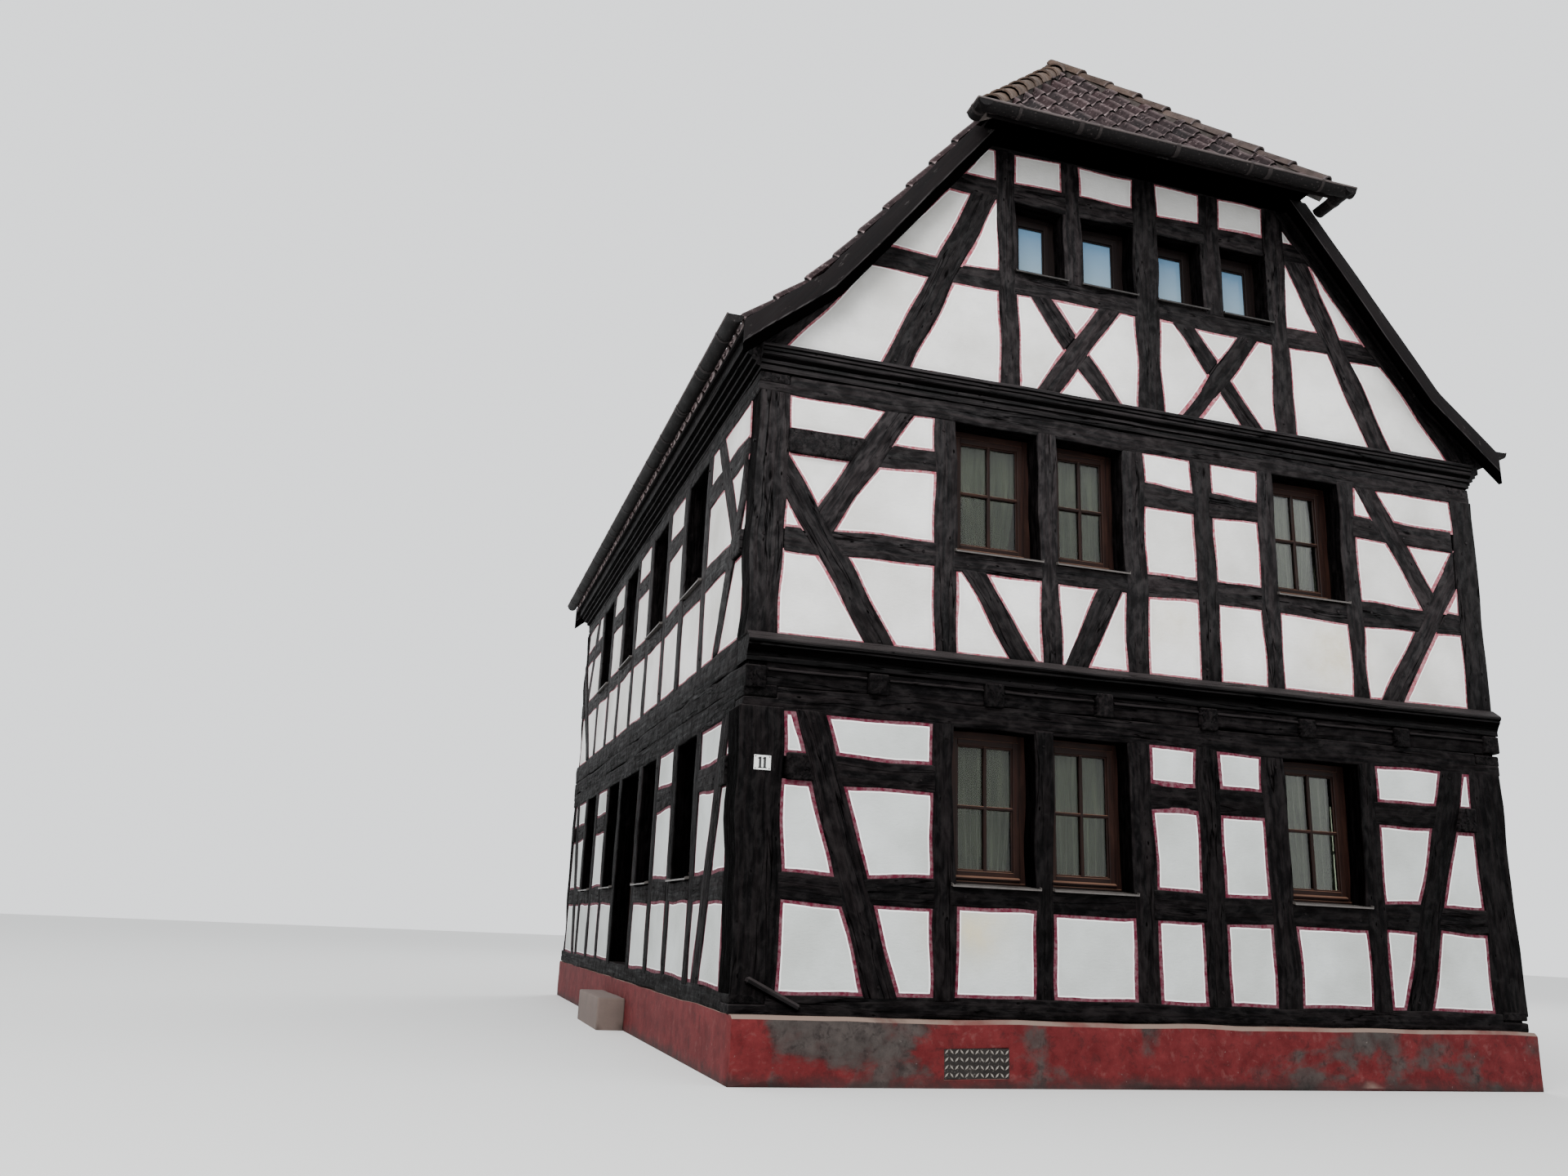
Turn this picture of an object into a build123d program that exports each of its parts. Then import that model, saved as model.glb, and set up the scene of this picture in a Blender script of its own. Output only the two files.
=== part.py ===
"""Half-timbered village house with its gable to the street and a half-hipped roof.

Millimetres. X runs along the street front, to the right as seen from the street, Y runs from
the street into the plot, and Z is up from the foot of the plinth. The origin is the middle of
the footprint, so the street front faces -Y and the yard side faces -X.
"""

import os
from math import atan, cos, degrees, radians, tan

from build123d import *

os.makedirs("parts", exist_ok=True)

# House body
HOUSE_DEPTH = 9000
TIMBER_DEPTH = 240
INFILL_SETBACK = 12
INFILL_DEPTH = 200

# Plinth, floors and the beams of each level, from the ground up
PLINTH_HEIGHT = 430
PLINTH_THICKNESS = 420
PLINTH_LEDGE = 70
PLINTH_WEATHERING = 25
GROUND_SILL_HEIGHT = 140
GROUND_STOREY = 1855
GROUND_PLATE_HEIGHT = 175
JOIST_HEIGHT = 160
JOIST_WIDTH = 150
JOIST_COUNT = 8
JOIST_PROJECTION = 30
FILLER_THICKNESS = 60
UPPER_SILL_HEIGHT = 215
UPPER_STOREY = 1825
UPPER_PLATE_HEIGHT = 160
BAND_HEIGHT = 225
FLOOR_BOARD = 30
ATTIC_FLOOR_THICKNESS = 190
BAND_PROJECTION = 75
SILL_PROJECTION = 75

# Street front, as bay and post widths from the left corner to the right one
UPPER_CORNER = 240
UPPER_BAYS = (1165, 685, 585, 435, 430, 650, 1005)
UPPER_POSTS = (190, 165, 195, 190, 165, 160)
UPPER_KINDS = ("brace", "window strut", "window strut", "panel", "panel", "window", "brace")
GROUND_CORNER = 320
GROUND_BAYS = (1085, 640, 640, 390, 390, 670)
GROUND_POSTS = (175, 150, 190, 200, 215, 165)
GROUND_KINDS = ("brace", "window", "window", "panel", "panel", "window", "brace")

# Long sides, whose end bays take what the others leave
SIDE_WINDOW = 700
SIDE_PANEL = 620
SIDE_POST = 180
SIDE_KINDS = ("brace", "window", "panel", "window", "panel", "window", "panel", "window", "brace")
YARD_KINDS = ("brace", "window", "panel", "window", "door", "window", "panel", "window", "brace")
DOOR_BAY = 1000

# Rails, measured up from the foot of the storey's posts
GROUND_LOW_RAIL = 580
GROUND_HIGH_RAIL = 1375
GROUND_BREAST = 740
UPPER_LOW_RAIL = 625
UPPER_HIGH_RAIL = 1365
UPPER_BREAST = 775
RAIL_HEIGHT = 195
BREAST_RAIL_HEIGHT = 155

# Braces
BRACE_WIDTH = 235
GROUND_BRACE_HEAD = 60
GROUND_BRACE_FOOT = 600
LONG_BRACE_FOOT = 640
LONG_BRACE_HIGH = 1385
LONG_BRACE_LOW = 1020
SHORT_BRACE_HEAD = 760
SHORT_BRACE_LEAN = 0.61
STRUT_WIDTH = 220
STRUT_GAP = 35

# Gable, measured from the left edge of its first post; its panels and windows share out the rise
GABLE_START = -1305
GABLE_POSTS = (172, 235, 190)
GABLE_WINDOWS = ((433, 480), (455, 450))
GABLE_WINDOW_POSTS = (175, 190)
GABLE_BREAST_SHARE = 0.193
GABLE_RAIL_HEIGHT = 190
GABLE_WINDOW_SHARE = 0.152
GABLE_TOP_PANEL_SHARE = 0.0655
GABLE_TOP_PLATE = 160
GABLE_BRACE_FOOT = 750
GABLE_BRACE_HEAD = 20
CROSS_BRACE_WIDTH = 215
CROSS_BRACE_INSET = 130

# Roof: main slope, flatter foot and half-hip; the main pitch follows from the ridge and the foot
RIDGE_HEIGHT = 9460
EAVE_ABOVE_BAND = 352
FOOT_PITCH = 40
FOOT_SPAN = 550
ROOF_THICKNESS = 100
TILE_WIDTH = 222
TILE_ROLL_WIDTH = 62
TILE_SHOULDER_WIDTH = 26
TILE_DEPTH = 48
CAP_RADIUS = 112
CAP_SINK = 48
EAVE_OVERHANG = 180
VERGE_OVERHANG = 160
HIP_PITCH = 50
HIP_EAVE_ABOVE_PLATE = 40
HIP_OVERHANG = 490
HIP_BOX_SETBACK = 40
HIP_BOX_EDGE = 30
SOFFIT_ABOVE_PLATE = 20
VERGE_RAFTER = 132
BARGEBOARD_THICKNESS = 40
BARGEBOARD_DEPTH = 210
BARGEBOARD_LAP = 50
CORNICE_STEP = 38
CORNICE_STEPS = 4
CORNICE_FILLET = 0.7
CORNICE_LEAN = 0.9
GUTTER_RADIUS = 65
GUTTER_WALL = 4
GUTTER_DROP = 25
HIP_GUTTER_DROP = 90
HIP_GUTTER_OVERRUN = 130

# Windows, door, hatch and number plate
REVEAL = 170
FRAME_WIDTH = 55
FRAME_DEPTH = 65
SASH_WIDTH = 48
SASH_DEPTH = 50
SASH_SETBACK = 8
GLASS_THICKNESS = 6
SILL_THICKNESS = 30
SILL_NOSING = 28
SILL_EAR = 25
DOOR_FRAME = 80
DOOR_LEAF = 50
STEP_WIDTH = 1300
STEP_DEPTH = 250
STEP_HEIGHT = 285
HATCH_LEFT = -1770
HATCH_WIDTH = 480
HATCH_HEIGHT = 195
HATCH_FOOT = 60
HATCH_THICKNESS = 12
PLATE_WIDTH = 120
PLATE_HEIGHT = 100
PLATE_THICKNESS = 3
PLATE_CENTRE_HEIGHT = 2060
PLATE_FROM_CORNER = 150

# Levels
Z_SILL = PLINTH_HEIGHT
Z_GROUND = Z_SILL + GROUND_SILL_HEIGHT
Z_GROUND_PLATE = Z_GROUND + GROUND_STOREY
Z_JOIST = Z_GROUND_PLATE + GROUND_PLATE_HEIGHT
Z_UPPER_SILL = Z_JOIST + JOIST_HEIGHT
Z_UPPER = Z_UPPER_SILL + UPPER_SILL_HEIGHT
Z_UPPER_PLATE = Z_UPPER + UPPER_STOREY
Z_BAND = Z_UPPER_PLATE + UPPER_PLATE_HEIGHT
Z_GABLE = Z_BAND + BAND_HEIGHT
GABLE_RISE = RIDGE_HEIGHT - Z_GABLE
Z_BREAST = Z_GABLE + GABLE_RISE * GABLE_BREAST_SHARE
Z_ATTIC_WINDOW = Z_BREAST + GABLE_RAIL_HEIGHT
Z_HIGH_RAIL = Z_ATTIC_WINDOW + GABLE_RISE * GABLE_WINDOW_SHARE
Z_TOP_PANEL = Z_HIGH_RAIL + GABLE_RAIL_HEIGHT
Z_TOP_PLATE = Z_TOP_PANEL + GABLE_RISE * GABLE_TOP_PANEL_SHARE
Z_TOP = Z_TOP_PLATE + GABLE_TOP_PLATE
Z_EAVE = Z_BAND + EAVE_ABOVE_BAND
HIP_EAVE_HEIGHT = Z_TOP_PLATE + HIP_EAVE_ABOVE_PLATE
HIP_SOFFIT = Z_TOP_PLATE + SOFFIT_ABOVE_PLATE
ROOF_FLOOR = Z_BAND - 175

HOUSE_WIDTH = 2 * UPPER_CORNER + sum(UPPER_BAYS) + sum(UPPER_POSTS)
HALF_WIDTH = HOUSE_WIDTH / 2
HALF_DEPTH = HOUSE_DEPTH / 2
INNER_HALF_WIDTH = HALF_WIDTH - TIMBER_DEPTH
INNER_HALF_DEPTH = HALF_DEPTH - TIMBER_DEPTH

STREET = Plane(origin=(0, -HALF_DEPTH, 0), x_dir=(1, 0, 0), z_dir=(0, -1, 0))
BACK = Plane(origin=(0, HALF_DEPTH, 0), x_dir=(-1, 0, 0), z_dir=(0, 1, 0))
YARD = Plane(origin=(-HALF_WIDTH, 0, 0), x_dir=(0, -1, 0), z_dir=(-1, 0, 0))
FAR_SIDE = Plane(origin=(HALF_WIDTH, 0, 0), x_dir=(0, 1, 0), z_dir=(1, 0, 0))

nodes = {}


def add(name, *shapes):
    """Files the solids of each shape under a node's name."""
    for shape in shapes:
        nodes.setdefault(name, []).extend(shape.solids())


def outline(points):
    return Polygon(*points, align=None)


def rectangle(u0, u1, z0, z1):
    return outline(((u0, z0), (u1, z0), (u1, z1), (u0, z1)))


def thicken(wall, face, depth, front=0):
    """A face drawn on the wall, given its depth inwards."""
    return extrude(wall.offset(front) * face, amount=depth, dir=-wall.z_dir)


def prism(wall, points, depth=TIMBER_DEPTH, front=0):
    """A flat piece of a wall: its outline on the wall's face, and its depth inwards."""
    return thicken(wall, outline(points), depth, front)


def block(wall, u0, u1, z0, z1, depth=TIMBER_DEPTH, front=0):
    """A rectangular piece of a wall."""
    return prism(wall, ((u0, z0), (u1, z0), (u1, z1), (u0, z1)), depth, front)


def mirrored(points, centre):
    """The same outline on the other side of an upright line."""
    return [(2 * centre - u, z) for u, z in reversed(points)]


def add_faces(name, wall, sketch, depth=TIMBER_DEPTH, front=0):
    """Each separate face of a sketch on the wall becomes a solid of its own."""
    for face in sketch.faces():
        add(name, thicken(wall, face, depth, front))


def spaced(corner, bays, posts, half_length):
    """Left and right edges of the bays and of the posts between them."""
    bay_edges, post_edges = [], []
    u = -half_length + corner
    for index, bay in enumerate(bays):
        bay_edges.append((u, u + bay))
        u += bay
        if index < len(posts):
            post_edges.append((u, u + posts[index]))
            u += posts[index]
    return bay_edges, post_edges


def filled(bays, posts, corner, length):
    """Bay widths with one more at the end, which takes what is left of the length."""
    return (*bays, length - 2 * corner - sum(bays) - sum(posts))


def side_layout(kinds, corner, length):
    """Bay and post widths of a long side: fixed bays, and end bays that share the rest."""
    posts = [SIDE_POST] * (len(kinds) - 1)
    widths = {"window": SIDE_WINDOW, "panel": SIDE_PANEL, "door": DOOR_BAY}
    inner = [widths[kind] for kind in kinds[1:-1]]
    end = (length - 2 * corner - sum(inner) - sum(posts)) / 2
    return [end, *inner, end], posts


def frame_window(wall, u0, u1, z0, z1):
    """A frame, its sash and its glass, set back in an opening, and the sill in front of them."""
    def ring(outer, inner, depth, front):
        return prism(wall, rectangle_points(u0, u1, z0, z1, outer), depth, front) - prism(
            wall, rectangle_points(u0, u1, z0, z1, inner), depth, front
        )

    add("window_frames", ring(0, FRAME_WIDTH, FRAME_DEPTH, -REVEAL))
    sash_inner = FRAME_WIDTH + SASH_WIDTH
    add("window_sashes", ring(FRAME_WIDTH, sash_inner, SASH_DEPTH, -REVEAL - SASH_SETBACK))
    glass_front = -REVEAL - SASH_SETBACK - (SASH_DEPTH - GLASS_THICKNESS) / 2
    pane = rectangle_points(u0, u1, z0, z1, sash_inner)
    add("window_glass", prism(wall, pane, GLASS_THICKNESS, glass_front))
    board = block(wall, u0, u1, z0, z0 + SILL_THICKNESS, REVEAL)
    nosing = block(wall, u0 - SILL_EAR, u1 + SILL_EAR, z0, z0 + SILL_THICKNESS, SILL_NOSING, SILL_NOSING)
    add("window_sills", board + nosing)


def rectangle_points(u0, u1, z0, z1, inset):
    return (
        (u0 + inset, z0 + inset),
        (u1 - inset, z0 + inset),
        (u1 - inset, z1 - inset),
        (u0 + inset, z1 - inset),
    )


def hang_door(wall, u0, u1, z0, z1):
    """A frame round three sides of the doorway, with a closed leaf of boards in it."""
    opening = rectangle(u0, u1, z0, z1)
    leaf = rectangle(u0 + DOOR_FRAME, u1 - DOOR_FRAME, z0, z1 - DOOR_FRAME)
    add_faces("door_frame", wall, opening - leaf, FRAME_DEPTH, -REVEAL)
    add_faces("door_leaf", wall, leaf, DOOR_LEAF, -REVEAL)


def ground_braces(u0, u1, z0, z1, mirror):
    """One long brace from the plate down to the sill."""
    points = [
        (u0 + GROUND_BRACE_HEAD, z1),
        (u0 + GROUND_BRACE_HEAD + BRACE_WIDTH, z1),
        (u0 + GROUND_BRACE_FOOT + BRACE_WIDTH, z0),
        (u0 + GROUND_BRACE_FOOT, z0),
    ]
    return [mirrored(points, (u0 + u1) / 2) if mirror else points]


def upper_braces(u0, u1, z0, z1, mirror):
    """A long brace from the corner post to the sill, and a short one from the plate down to it."""
    long_brace = [
        (u0, z0 + LONG_BRACE_LOW),
        (u0 + LONG_BRACE_FOOT, z0),
        (u0 + LONG_BRACE_FOOT + BRACE_WIDTH, z0),
        (u0, z0 + LONG_BRACE_HIGH),
    ]
    rail_top = z0 + UPPER_LOW_RAIL + RAIL_HEIGHT
    drop = (z1 - rail_top) * SHORT_BRACE_LEAN
    short_brace = [
        (u0 + SHORT_BRACE_HEAD - drop, rail_top),
        (u0 + SHORT_BRACE_HEAD + BRACE_WIDTH - drop, rail_top),
        (u0 + SHORT_BRACE_HEAD + BRACE_WIDTH, z1),
        (u0 + SHORT_BRACE_HEAD, z1),
    ]
    pair = [long_brace, short_brace]
    return [mirrored(points, (u0 + u1) / 2) for points in pair] if mirror else pair


def strut_under(u0, u1, z0, z1, mirror):
    """A leaning strut that fills the panel under a window."""
    points = [
        (u0 + STRUT_GAP, z1),
        (u0 + STRUT_GAP + STRUT_WIDTH, z1),
        (u1 - STRUT_GAP, z0),
        (u1 - STRUT_GAP - STRUT_WIDTH, z0),
    ]
    return mirrored(points, (u0 + u1) / 2) if mirror else points


def raise_storey(storey, wall, half_length, kinds, bays, posts, levels, braces_of):
    """Posts, rails, braces, infill and windows of one wall of one storey, between its corner posts."""
    corner, z0, z1, low, high, breast = levels
    bay_edges, post_edges = spaced(corner, bays, posts, half_length)
    for u0, u1 in post_edges:
        add(f"{storey}_posts", block(wall, u0, u1, z0, z1))
    struts = 0
    for index, (kind, (u0, u1)) in enumerate(zip(kinds, bay_edges)):
        field = rectangle(u0, u1, z0, z1)
        timbers = []
        if kind == "door":
            hang_door(wall, u0, u1, z0, z1)
            continue
        if kind.startswith("window"):
            sill = z0 + breast
            rail = rectangle(u0, u1, sill - BREAST_RAIL_HEIGHT, sill)
            add_faces(f"{storey}_rails", wall, rail)
            frame_window(wall, u0, u1, sill, z1)
            field = rectangle(u0, u1, z0, sill - BREAST_RAIL_HEIGHT)
            if kind.endswith("strut"):
                strut = outline(strut_under(u0, u1, z0, sill - BREAST_RAIL_HEIGHT, struts % 2 == 1))
                add_faces(f"{storey}_struts", wall, strut)
                timbers.append(strut)
                struts += 1
        else:
            if kind == "brace":
                shapes = [outline(points) for points in braces_of(u0, u1, z0, z1, index > 0)]
                for number, shape in enumerate(shapes):
                    name = f"{storey}_braces" if number == 0 else f"{storey}_short_braces"
                    shape = shape & field
                    for earlier in timbers:
                        shape = shape - earlier
                    add_faces(name, wall, shape)
                    timbers.append(shape)
            rails = rectangle(u0, u1, z0 + low, z0 + low + RAIL_HEIGHT)
            rails = rails + rectangle(u0, u1, z0 + high, z0 + high + RAIL_HEIGHT)
            for timber in timbers:
                rails = rails - timber
            add_faces(f"{storey}_rails", wall, rails)
            timbers.append(rails)
        for timber in timbers:
            field = field - timber
        add_faces(f"{storey}_infill", wall, field, INFILL_DEPTH, -INFILL_SETBACK)


def corner_posts(storey, corner, z0, z1):
    """Four square posts, flush with both walls at each corner."""
    post = Box(corner, corner, z1 - z0, align=(Align.CENTER, Align.CENTER, Align.MIN))
    x, y = HALF_WIDTH - corner / 2, HALF_DEPTH - corner / 2
    add(f"{storey}_corner_posts", *(Pos(sx * x, sy * y, z0) * post for sx in (-1, 1) for sy in (-1, 1)))


def lapped_ring(name, z0, height):
    """Gable beams and side beams of one level, half-lapped over each other at the corners."""
    half = height / 2
    low_lap = Box(TIMBER_DEPTH, TIMBER_DEPTH, half, align=(Align.CENTER, Align.CENTER, Align.MIN))
    x, y = HALF_WIDTH - TIMBER_DEPTH / 2, HALF_DEPTH - TIMBER_DEPTH / 2
    upper_laps = [Pos(sx * x, sy * y, z0 + half) * low_lap for sx in (-1, 1) for sy in (-1, 1)]
    lower_laps = [Pos(sx * x, sy * y, z0) * low_lap for sx in (-1, 1) for sy in (-1, 1)]
    for wall in (STREET, BACK):
        beam = block(wall, -HALF_WIDTH, HALF_WIDTH, z0, z0 + height)
        for lap in upper_laps:
            beam = beam - lap
        add(f"{name}_gable_beams", beam)
    for wall in (YARD, FAR_SIDE):
        beam = block(wall, -HALF_DEPTH, HALF_DEPTH, z0, z0 + height)
        for lap in lower_laps:
            beam = beam - lap
        add(f"{name}_side_beams", beam)


def moulded_beam(name, z0, height, projection, steps, curves):
    """Beam of a gable wall with a moulded face.

    Steps are (share of the projection, share of the height) going up the face; a curve bulges
    by its share of the projection between the step of its number and the next one.
    """
    points = [(projection * out, z0 + height * up) for out, up in steps]
    lines = Polyline(points[-1], (-TIMBER_DEPTH, z0 + height), (-TIMBER_DEPTH, z0), points[0])
    for index, (first, second) in enumerate(zip(points, points[1:])):
        if index in curves:
            middle = ((first[0] + second[0]) / 2 + projection * curves[index], (first[1] + second[1]) / 2)
            lines = lines + ThreePointArc(first, middle, second)
        else:
            lines = lines + Line(first, second)
    profile = make_face(lines)
    for turn in (0, 180):
        section = Plane(origin=(-HALF_WIDTH, -HALF_DEPTH, 0), x_dir=(0, -1, 0), z_dir=(-1, 0, 0)) * profile
        add(name, Rot(0, 0, turn) * extrude(section, amount=HOUSE_WIDTH, dir=(1, 0, 0)))


def build_plinth():
    """Rendered masonry ring with a weathered ledge towards the street and the back."""
    depth = HOUSE_DEPTH + 2 * PLINTH_LEDGE
    outer = Box(HOUSE_WIDTH, depth, PLINTH_HEIGHT, align=(Align.CENTER, Align.CENTER, Align.MIN))
    edges = outer.edges().filter_by(Axis.X).group_by(Axis.Z)[-1]
    outer = chamfer(edges, PLINTH_WEATHERING)
    core = Box(
        HOUSE_WIDTH - 2 * PLINTH_THICKNESS,
        HOUSE_DEPTH - 2 * PLINTH_THICKNESS,
        PLINTH_HEIGHT,
        align=(Align.CENTER, Align.CENTER, Align.MIN),
    )
    face_y = -HALF_DEPTH - PLINTH_LEDGE
    hatch = Pos(HATCH_LEFT + HATCH_WIDTH / 2, face_y + HATCH_THICKNESS / 2, HATCH_FOOT) * Box(
        HATCH_WIDTH, HATCH_THICKNESS, HATCH_HEIGHT, align=(Align.CENTER, Align.CENTER, Align.MIN)
    )
    add("plinth", outer - core - hatch)
    add("cellar_hatch", hatch)


def build_floors():
    inner = (2 * INNER_HALF_WIDTH, 2 * INNER_HALF_DEPTH)
    low = (Align.CENTER, Align.CENTER, Align.MIN)
    add("ground_floor", Pos(0, 0, Z_SILL) * Box(*inner, GROUND_SILL_HEIGHT, align=low))
    pitch = (HOUSE_WIDTH - JOIST_WIDTH) / (JOIST_COUNT - 1)
    first = -HALF_WIDTH + JOIST_WIDTH / 2
    length = HOUSE_DEPTH + 2 * JOIST_PROJECTION
    for index in range(JOIST_COUNT):
        joist = Box(JOIST_WIDTH, length, JOIST_HEIGHT, align=low)
        add("floor_joists", Pos(first + index * pitch, 0, Z_JOIST) * joist)
    for wall in (STREET, BACK):
        for index in range(JOIST_COUNT - 1):
            u0 = first + index * pitch + JOIST_WIDTH / 2
            u1 = u0 + pitch - JOIST_WIDTH
            add("joist_fillers", block(wall, u0, u1, Z_JOIST, Z_UPPER_SILL, FILLER_THICKNESS))
    add("upper_floor", Pos(0, 0, Z_UPPER_SILL) * Box(*inner, FLOOR_BOARD, align=low))
    add("attic_floor", Pos(0, 0, Z_BAND) * Box(*inner, ATTIC_FLOOR_THICKNESS, align=low))


# Roof lines of one slope, as heights over the distance from the ridge
FOOT_RISE = tan(radians(FOOT_PITCH))
EAVE_X = HALF_WIDTH + EAVE_OVERHANG
KINK_X = EAVE_X - FOOT_SPAN
KINK_Z = Z_EAVE + FOOT_SPAN * FOOT_RISE
MAIN_RISE = (RIDGE_HEIGHT - KINK_Z) / KINK_X
MAIN_PITCH = degrees(atan(MAIN_RISE))
MAIN_DROP = ROOF_THICKNESS / cos(radians(MAIN_PITCH))
HIP_RISE = tan(radians(HIP_PITCH))
HIP_EAVE_Y = HALF_DEPTH + HIP_OVERHANG
VERGE_Y = HALF_DEPTH + VERGE_OVERHANG


def roof_top(x, drop=0):
    """Height of the roof over a point at x from the ridge, lowered square to each slope."""
    main = RIDGE_HEIGHT - abs(x) * MAIN_RISE - drop / cos(radians(MAIN_PITCH))
    foot = KINK_Z - (abs(x) - KINK_X) * FOOT_RISE - drop / cos(radians(FOOT_PITCH))
    return max(main, foot)


def kink_x(drop):
    """Distance from the ridge at which a lowered main slope meets the lowered foot."""
    gap = drop / cos(radians(MAIN_PITCH)) - drop / cos(radians(FOOT_PITCH))
    return KINK_X - gap / (MAIN_RISE - FOOT_RISE)


def roof_section(drop, floor, half_span):
    """Half outline, then mirrored, of the space under the roof down to a level."""
    bend = kink_x(drop)
    right = [
        (0, roof_top(0, drop)),
        (bend, roof_top(bend, drop)),
        (half_span, roof_top(half_span, drop)),
        (half_span, floor),
    ]
    return right + [(-x, z) for x, z in reversed(right) if x]


def space_under_roof(drop, floor, half_span, half_length, hip_half_length):
    """Solid space under both slopes and both half-hips, down to a level."""
    section = Plane(origin=(0, -half_length, 0), x_dir=(1, 0, 0), z_dir=(0, -1, 0))
    section = section * outline(roof_section(drop, floor, half_span))
    space = extrude(section, amount=2 * half_length, dir=(0, 1, 0))
    top = 2 * RIDGE_HEIGHT
    lowered = HIP_EAVE_HEIGHT - drop / cos(radians(HIP_PITCH))
    run = (top - lowered) / HIP_RISE
    for turn in (0, 180):
        wedge = Plane.YZ.offset(-2 * half_span) * Polygon(
            (-hip_half_length, lowered - (hip_half_length - HIP_EAVE_Y) * HIP_RISE),
            (-hip_half_length, top),
            (-HIP_EAVE_Y + run, top),
            align=None,
        )
        space = space - Rot(0, 0, turn) * extrude(wedge, amount=4 * half_span, dir=(1, 0, 0))
    return space


def tile_pans(length, centre_to_edge, across):
    """Boxes over the pans between the rolls of the tiles, wide ones and the narrower ones in them."""
    count = round(2 * length / TILE_WIDTH)
    pitch = 2 * length / count
    wide, narrow = [], []
    for index in range(count):
        middle = -length + (index + 0.5) * pitch
        for boxes, rib in ((wide, TILE_ROLL_WIDTH), (narrow, TILE_ROLL_WIDTH + 2 * TILE_SHOULDER_WIDTH)):
            size = (pitch - rib, 2 * centre_to_edge) if across else (2 * centre_to_edge, pitch - rib)
            place = Pos(middle, 0, 0) if across else Pos(0, middle, 0)
            boxes.append(place * Box(*size, 2 * RIDGE_HEIGHT))
    return wide, narrow


def cut_pans(solid, layers, pans):
    """A roof solid with its tiles' pans sunk between their rolls, in two steps."""
    for layer, boxes in zip(layers, pans):
        solid = solid - [layer & box for box in boxes]
    return solid


def roof_parts():
    """The space under the roof's surface, its shell, and the layers that the tiles' pans are sunk in."""
    reach = HIP_EAVE_Y + HIP_BOX_SETBACK
    outer = space_under_roof(0, ROOF_FLOOR, EAVE_X, HIP_EAVE_Y, reach)
    inner = space_under_roof(ROOF_THICKNESS, ROOF_FLOOR - 1, EAVE_X + 1, HIP_EAVE_Y + 1, reach)
    layers = []
    for depth in (TILE_DEPTH / 2, TILE_DEPTH):
        layers.append(outer - space_under_roof(depth, ROOF_FLOOR - 1, EAVE_X + 1, HIP_EAVE_Y + 1, reach))
    return outer, outer - inner, layers


def build_roof():
    """Two slopes with flatter feet and two half-hips, mitred along upright cuts, under capping tiles."""
    outer, shell, layers = roof_parts()
    apex_y = HIP_EAVE_Y - (RIDGE_HEIGHT - HIP_EAVE_HEIGHT) / HIP_RISE
    hip_half = (RIDGE_HEIGHT - HIP_EAVE_HEIGHT) / MAIN_RISE
    corners = ((0, -apex_y), (-hip_half, -HIP_EAVE_Y), (hip_half, -HIP_EAVE_Y))
    plan = Plane.XY.offset(ROOF_FLOOR) * Polygon(*corners, align=None)
    street_hip = extrude(plan, amount=RIDGE_HEIGHT, dir=(0, 0, 1))
    back_hip = Rot(0, 0, 180) * street_hip
    slope_pans = tile_pans(VERGE_Y, 2 * EAVE_X, False)
    for name, side in (("roof_slope_yard", -1), ("roof_slope_far", 1)):
        half = Pos(side * EAVE_X, 0, ROOF_FLOOR) * Box(
            2 * EAVE_X, 2 * VERGE_Y, RIDGE_HEIGHT, align=(Align.CENTER, Align.CENTER, Align.MIN)
        )
        slope = (shell & half) - street_hip - back_hip
        add(name, cut_pans(slope, layers, slope_pans))
    hip_pans = tile_pans(hip_half, 2 * HIP_EAVE_Y, True)
    for hip in (street_hip, back_hip):
        add("half_hips", cut_pans(shell & hip, layers, hip_pans))
    caps = ridge_cap((0, -apex_y, RIDGE_HEIGHT - CAP_SINK), (0, apex_y, RIDGE_HEIGHT - CAP_SINK))
    for side in (-1, 1):
        for end in (-1, 1):
            foot = (side * hip_half, end * HIP_EAVE_Y, HIP_EAVE_HEIGHT - CAP_SINK)
            caps = caps + ridge_cap(foot, (0, end * apex_y, RIDGE_HEIGHT - CAP_SINK))
    between_eaves = Box(2 * EAVE_X, 2 * HIP_EAVE_Y, 3 * RIDGE_HEIGHT)
    add("capping_tiles", (caps & between_eaves) - outer)
    return hip_half


def ridge_cap(start, end):
    """Round of capping tiles from one point of the roof to another, with a ball joint at its end."""
    path = Vector(*end) - Vector(*start)
    place = Plane(origin=start, x_dir=path.cross(Vector(0, 0, 1)), z_dir=path)
    round_bar = extrude(place * Circle(CAP_RADIUS), amount=path.length, dir=path.normalized())
    return round_bar + Pos(*end) * Sphere(CAP_RADIUS)


def build_verges():
    """Bargeboards along both slopes at each gable, up to the box under the half-hip."""
    head = HIP_SOFFIT
    top_drop, low_drop = BARGEBOARD_LAP, BARGEBOARD_LAP + BARGEBOARD_DEPTH

    def line_x(z, drop):
        return (RIDGE_HEIGHT - drop / cos(radians(MAIN_PITCH)) - z) / MAIN_RISE

    points = [
        (line_x(head, top_drop), head),
        (kink_x(top_drop), roof_top(kink_x(top_drop), top_drop)),
        (EAVE_X, roof_top(EAVE_X, top_drop)),
        (EAVE_X, roof_top(EAVE_X, low_drop)),
        (kink_x(low_drop), roof_top(kink_x(low_drop), low_drop)),
        (line_x(head, low_drop), head),
    ]
    for wall in (STREET, BACK):
        for side in (points, mirrored(points, 0)):
            front = VERGE_OVERHANG + BARGEBOARD_THICKNESS
            add("bargeboards", prism(wall, side, BARGEBOARD_THICKNESS, front))


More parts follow.
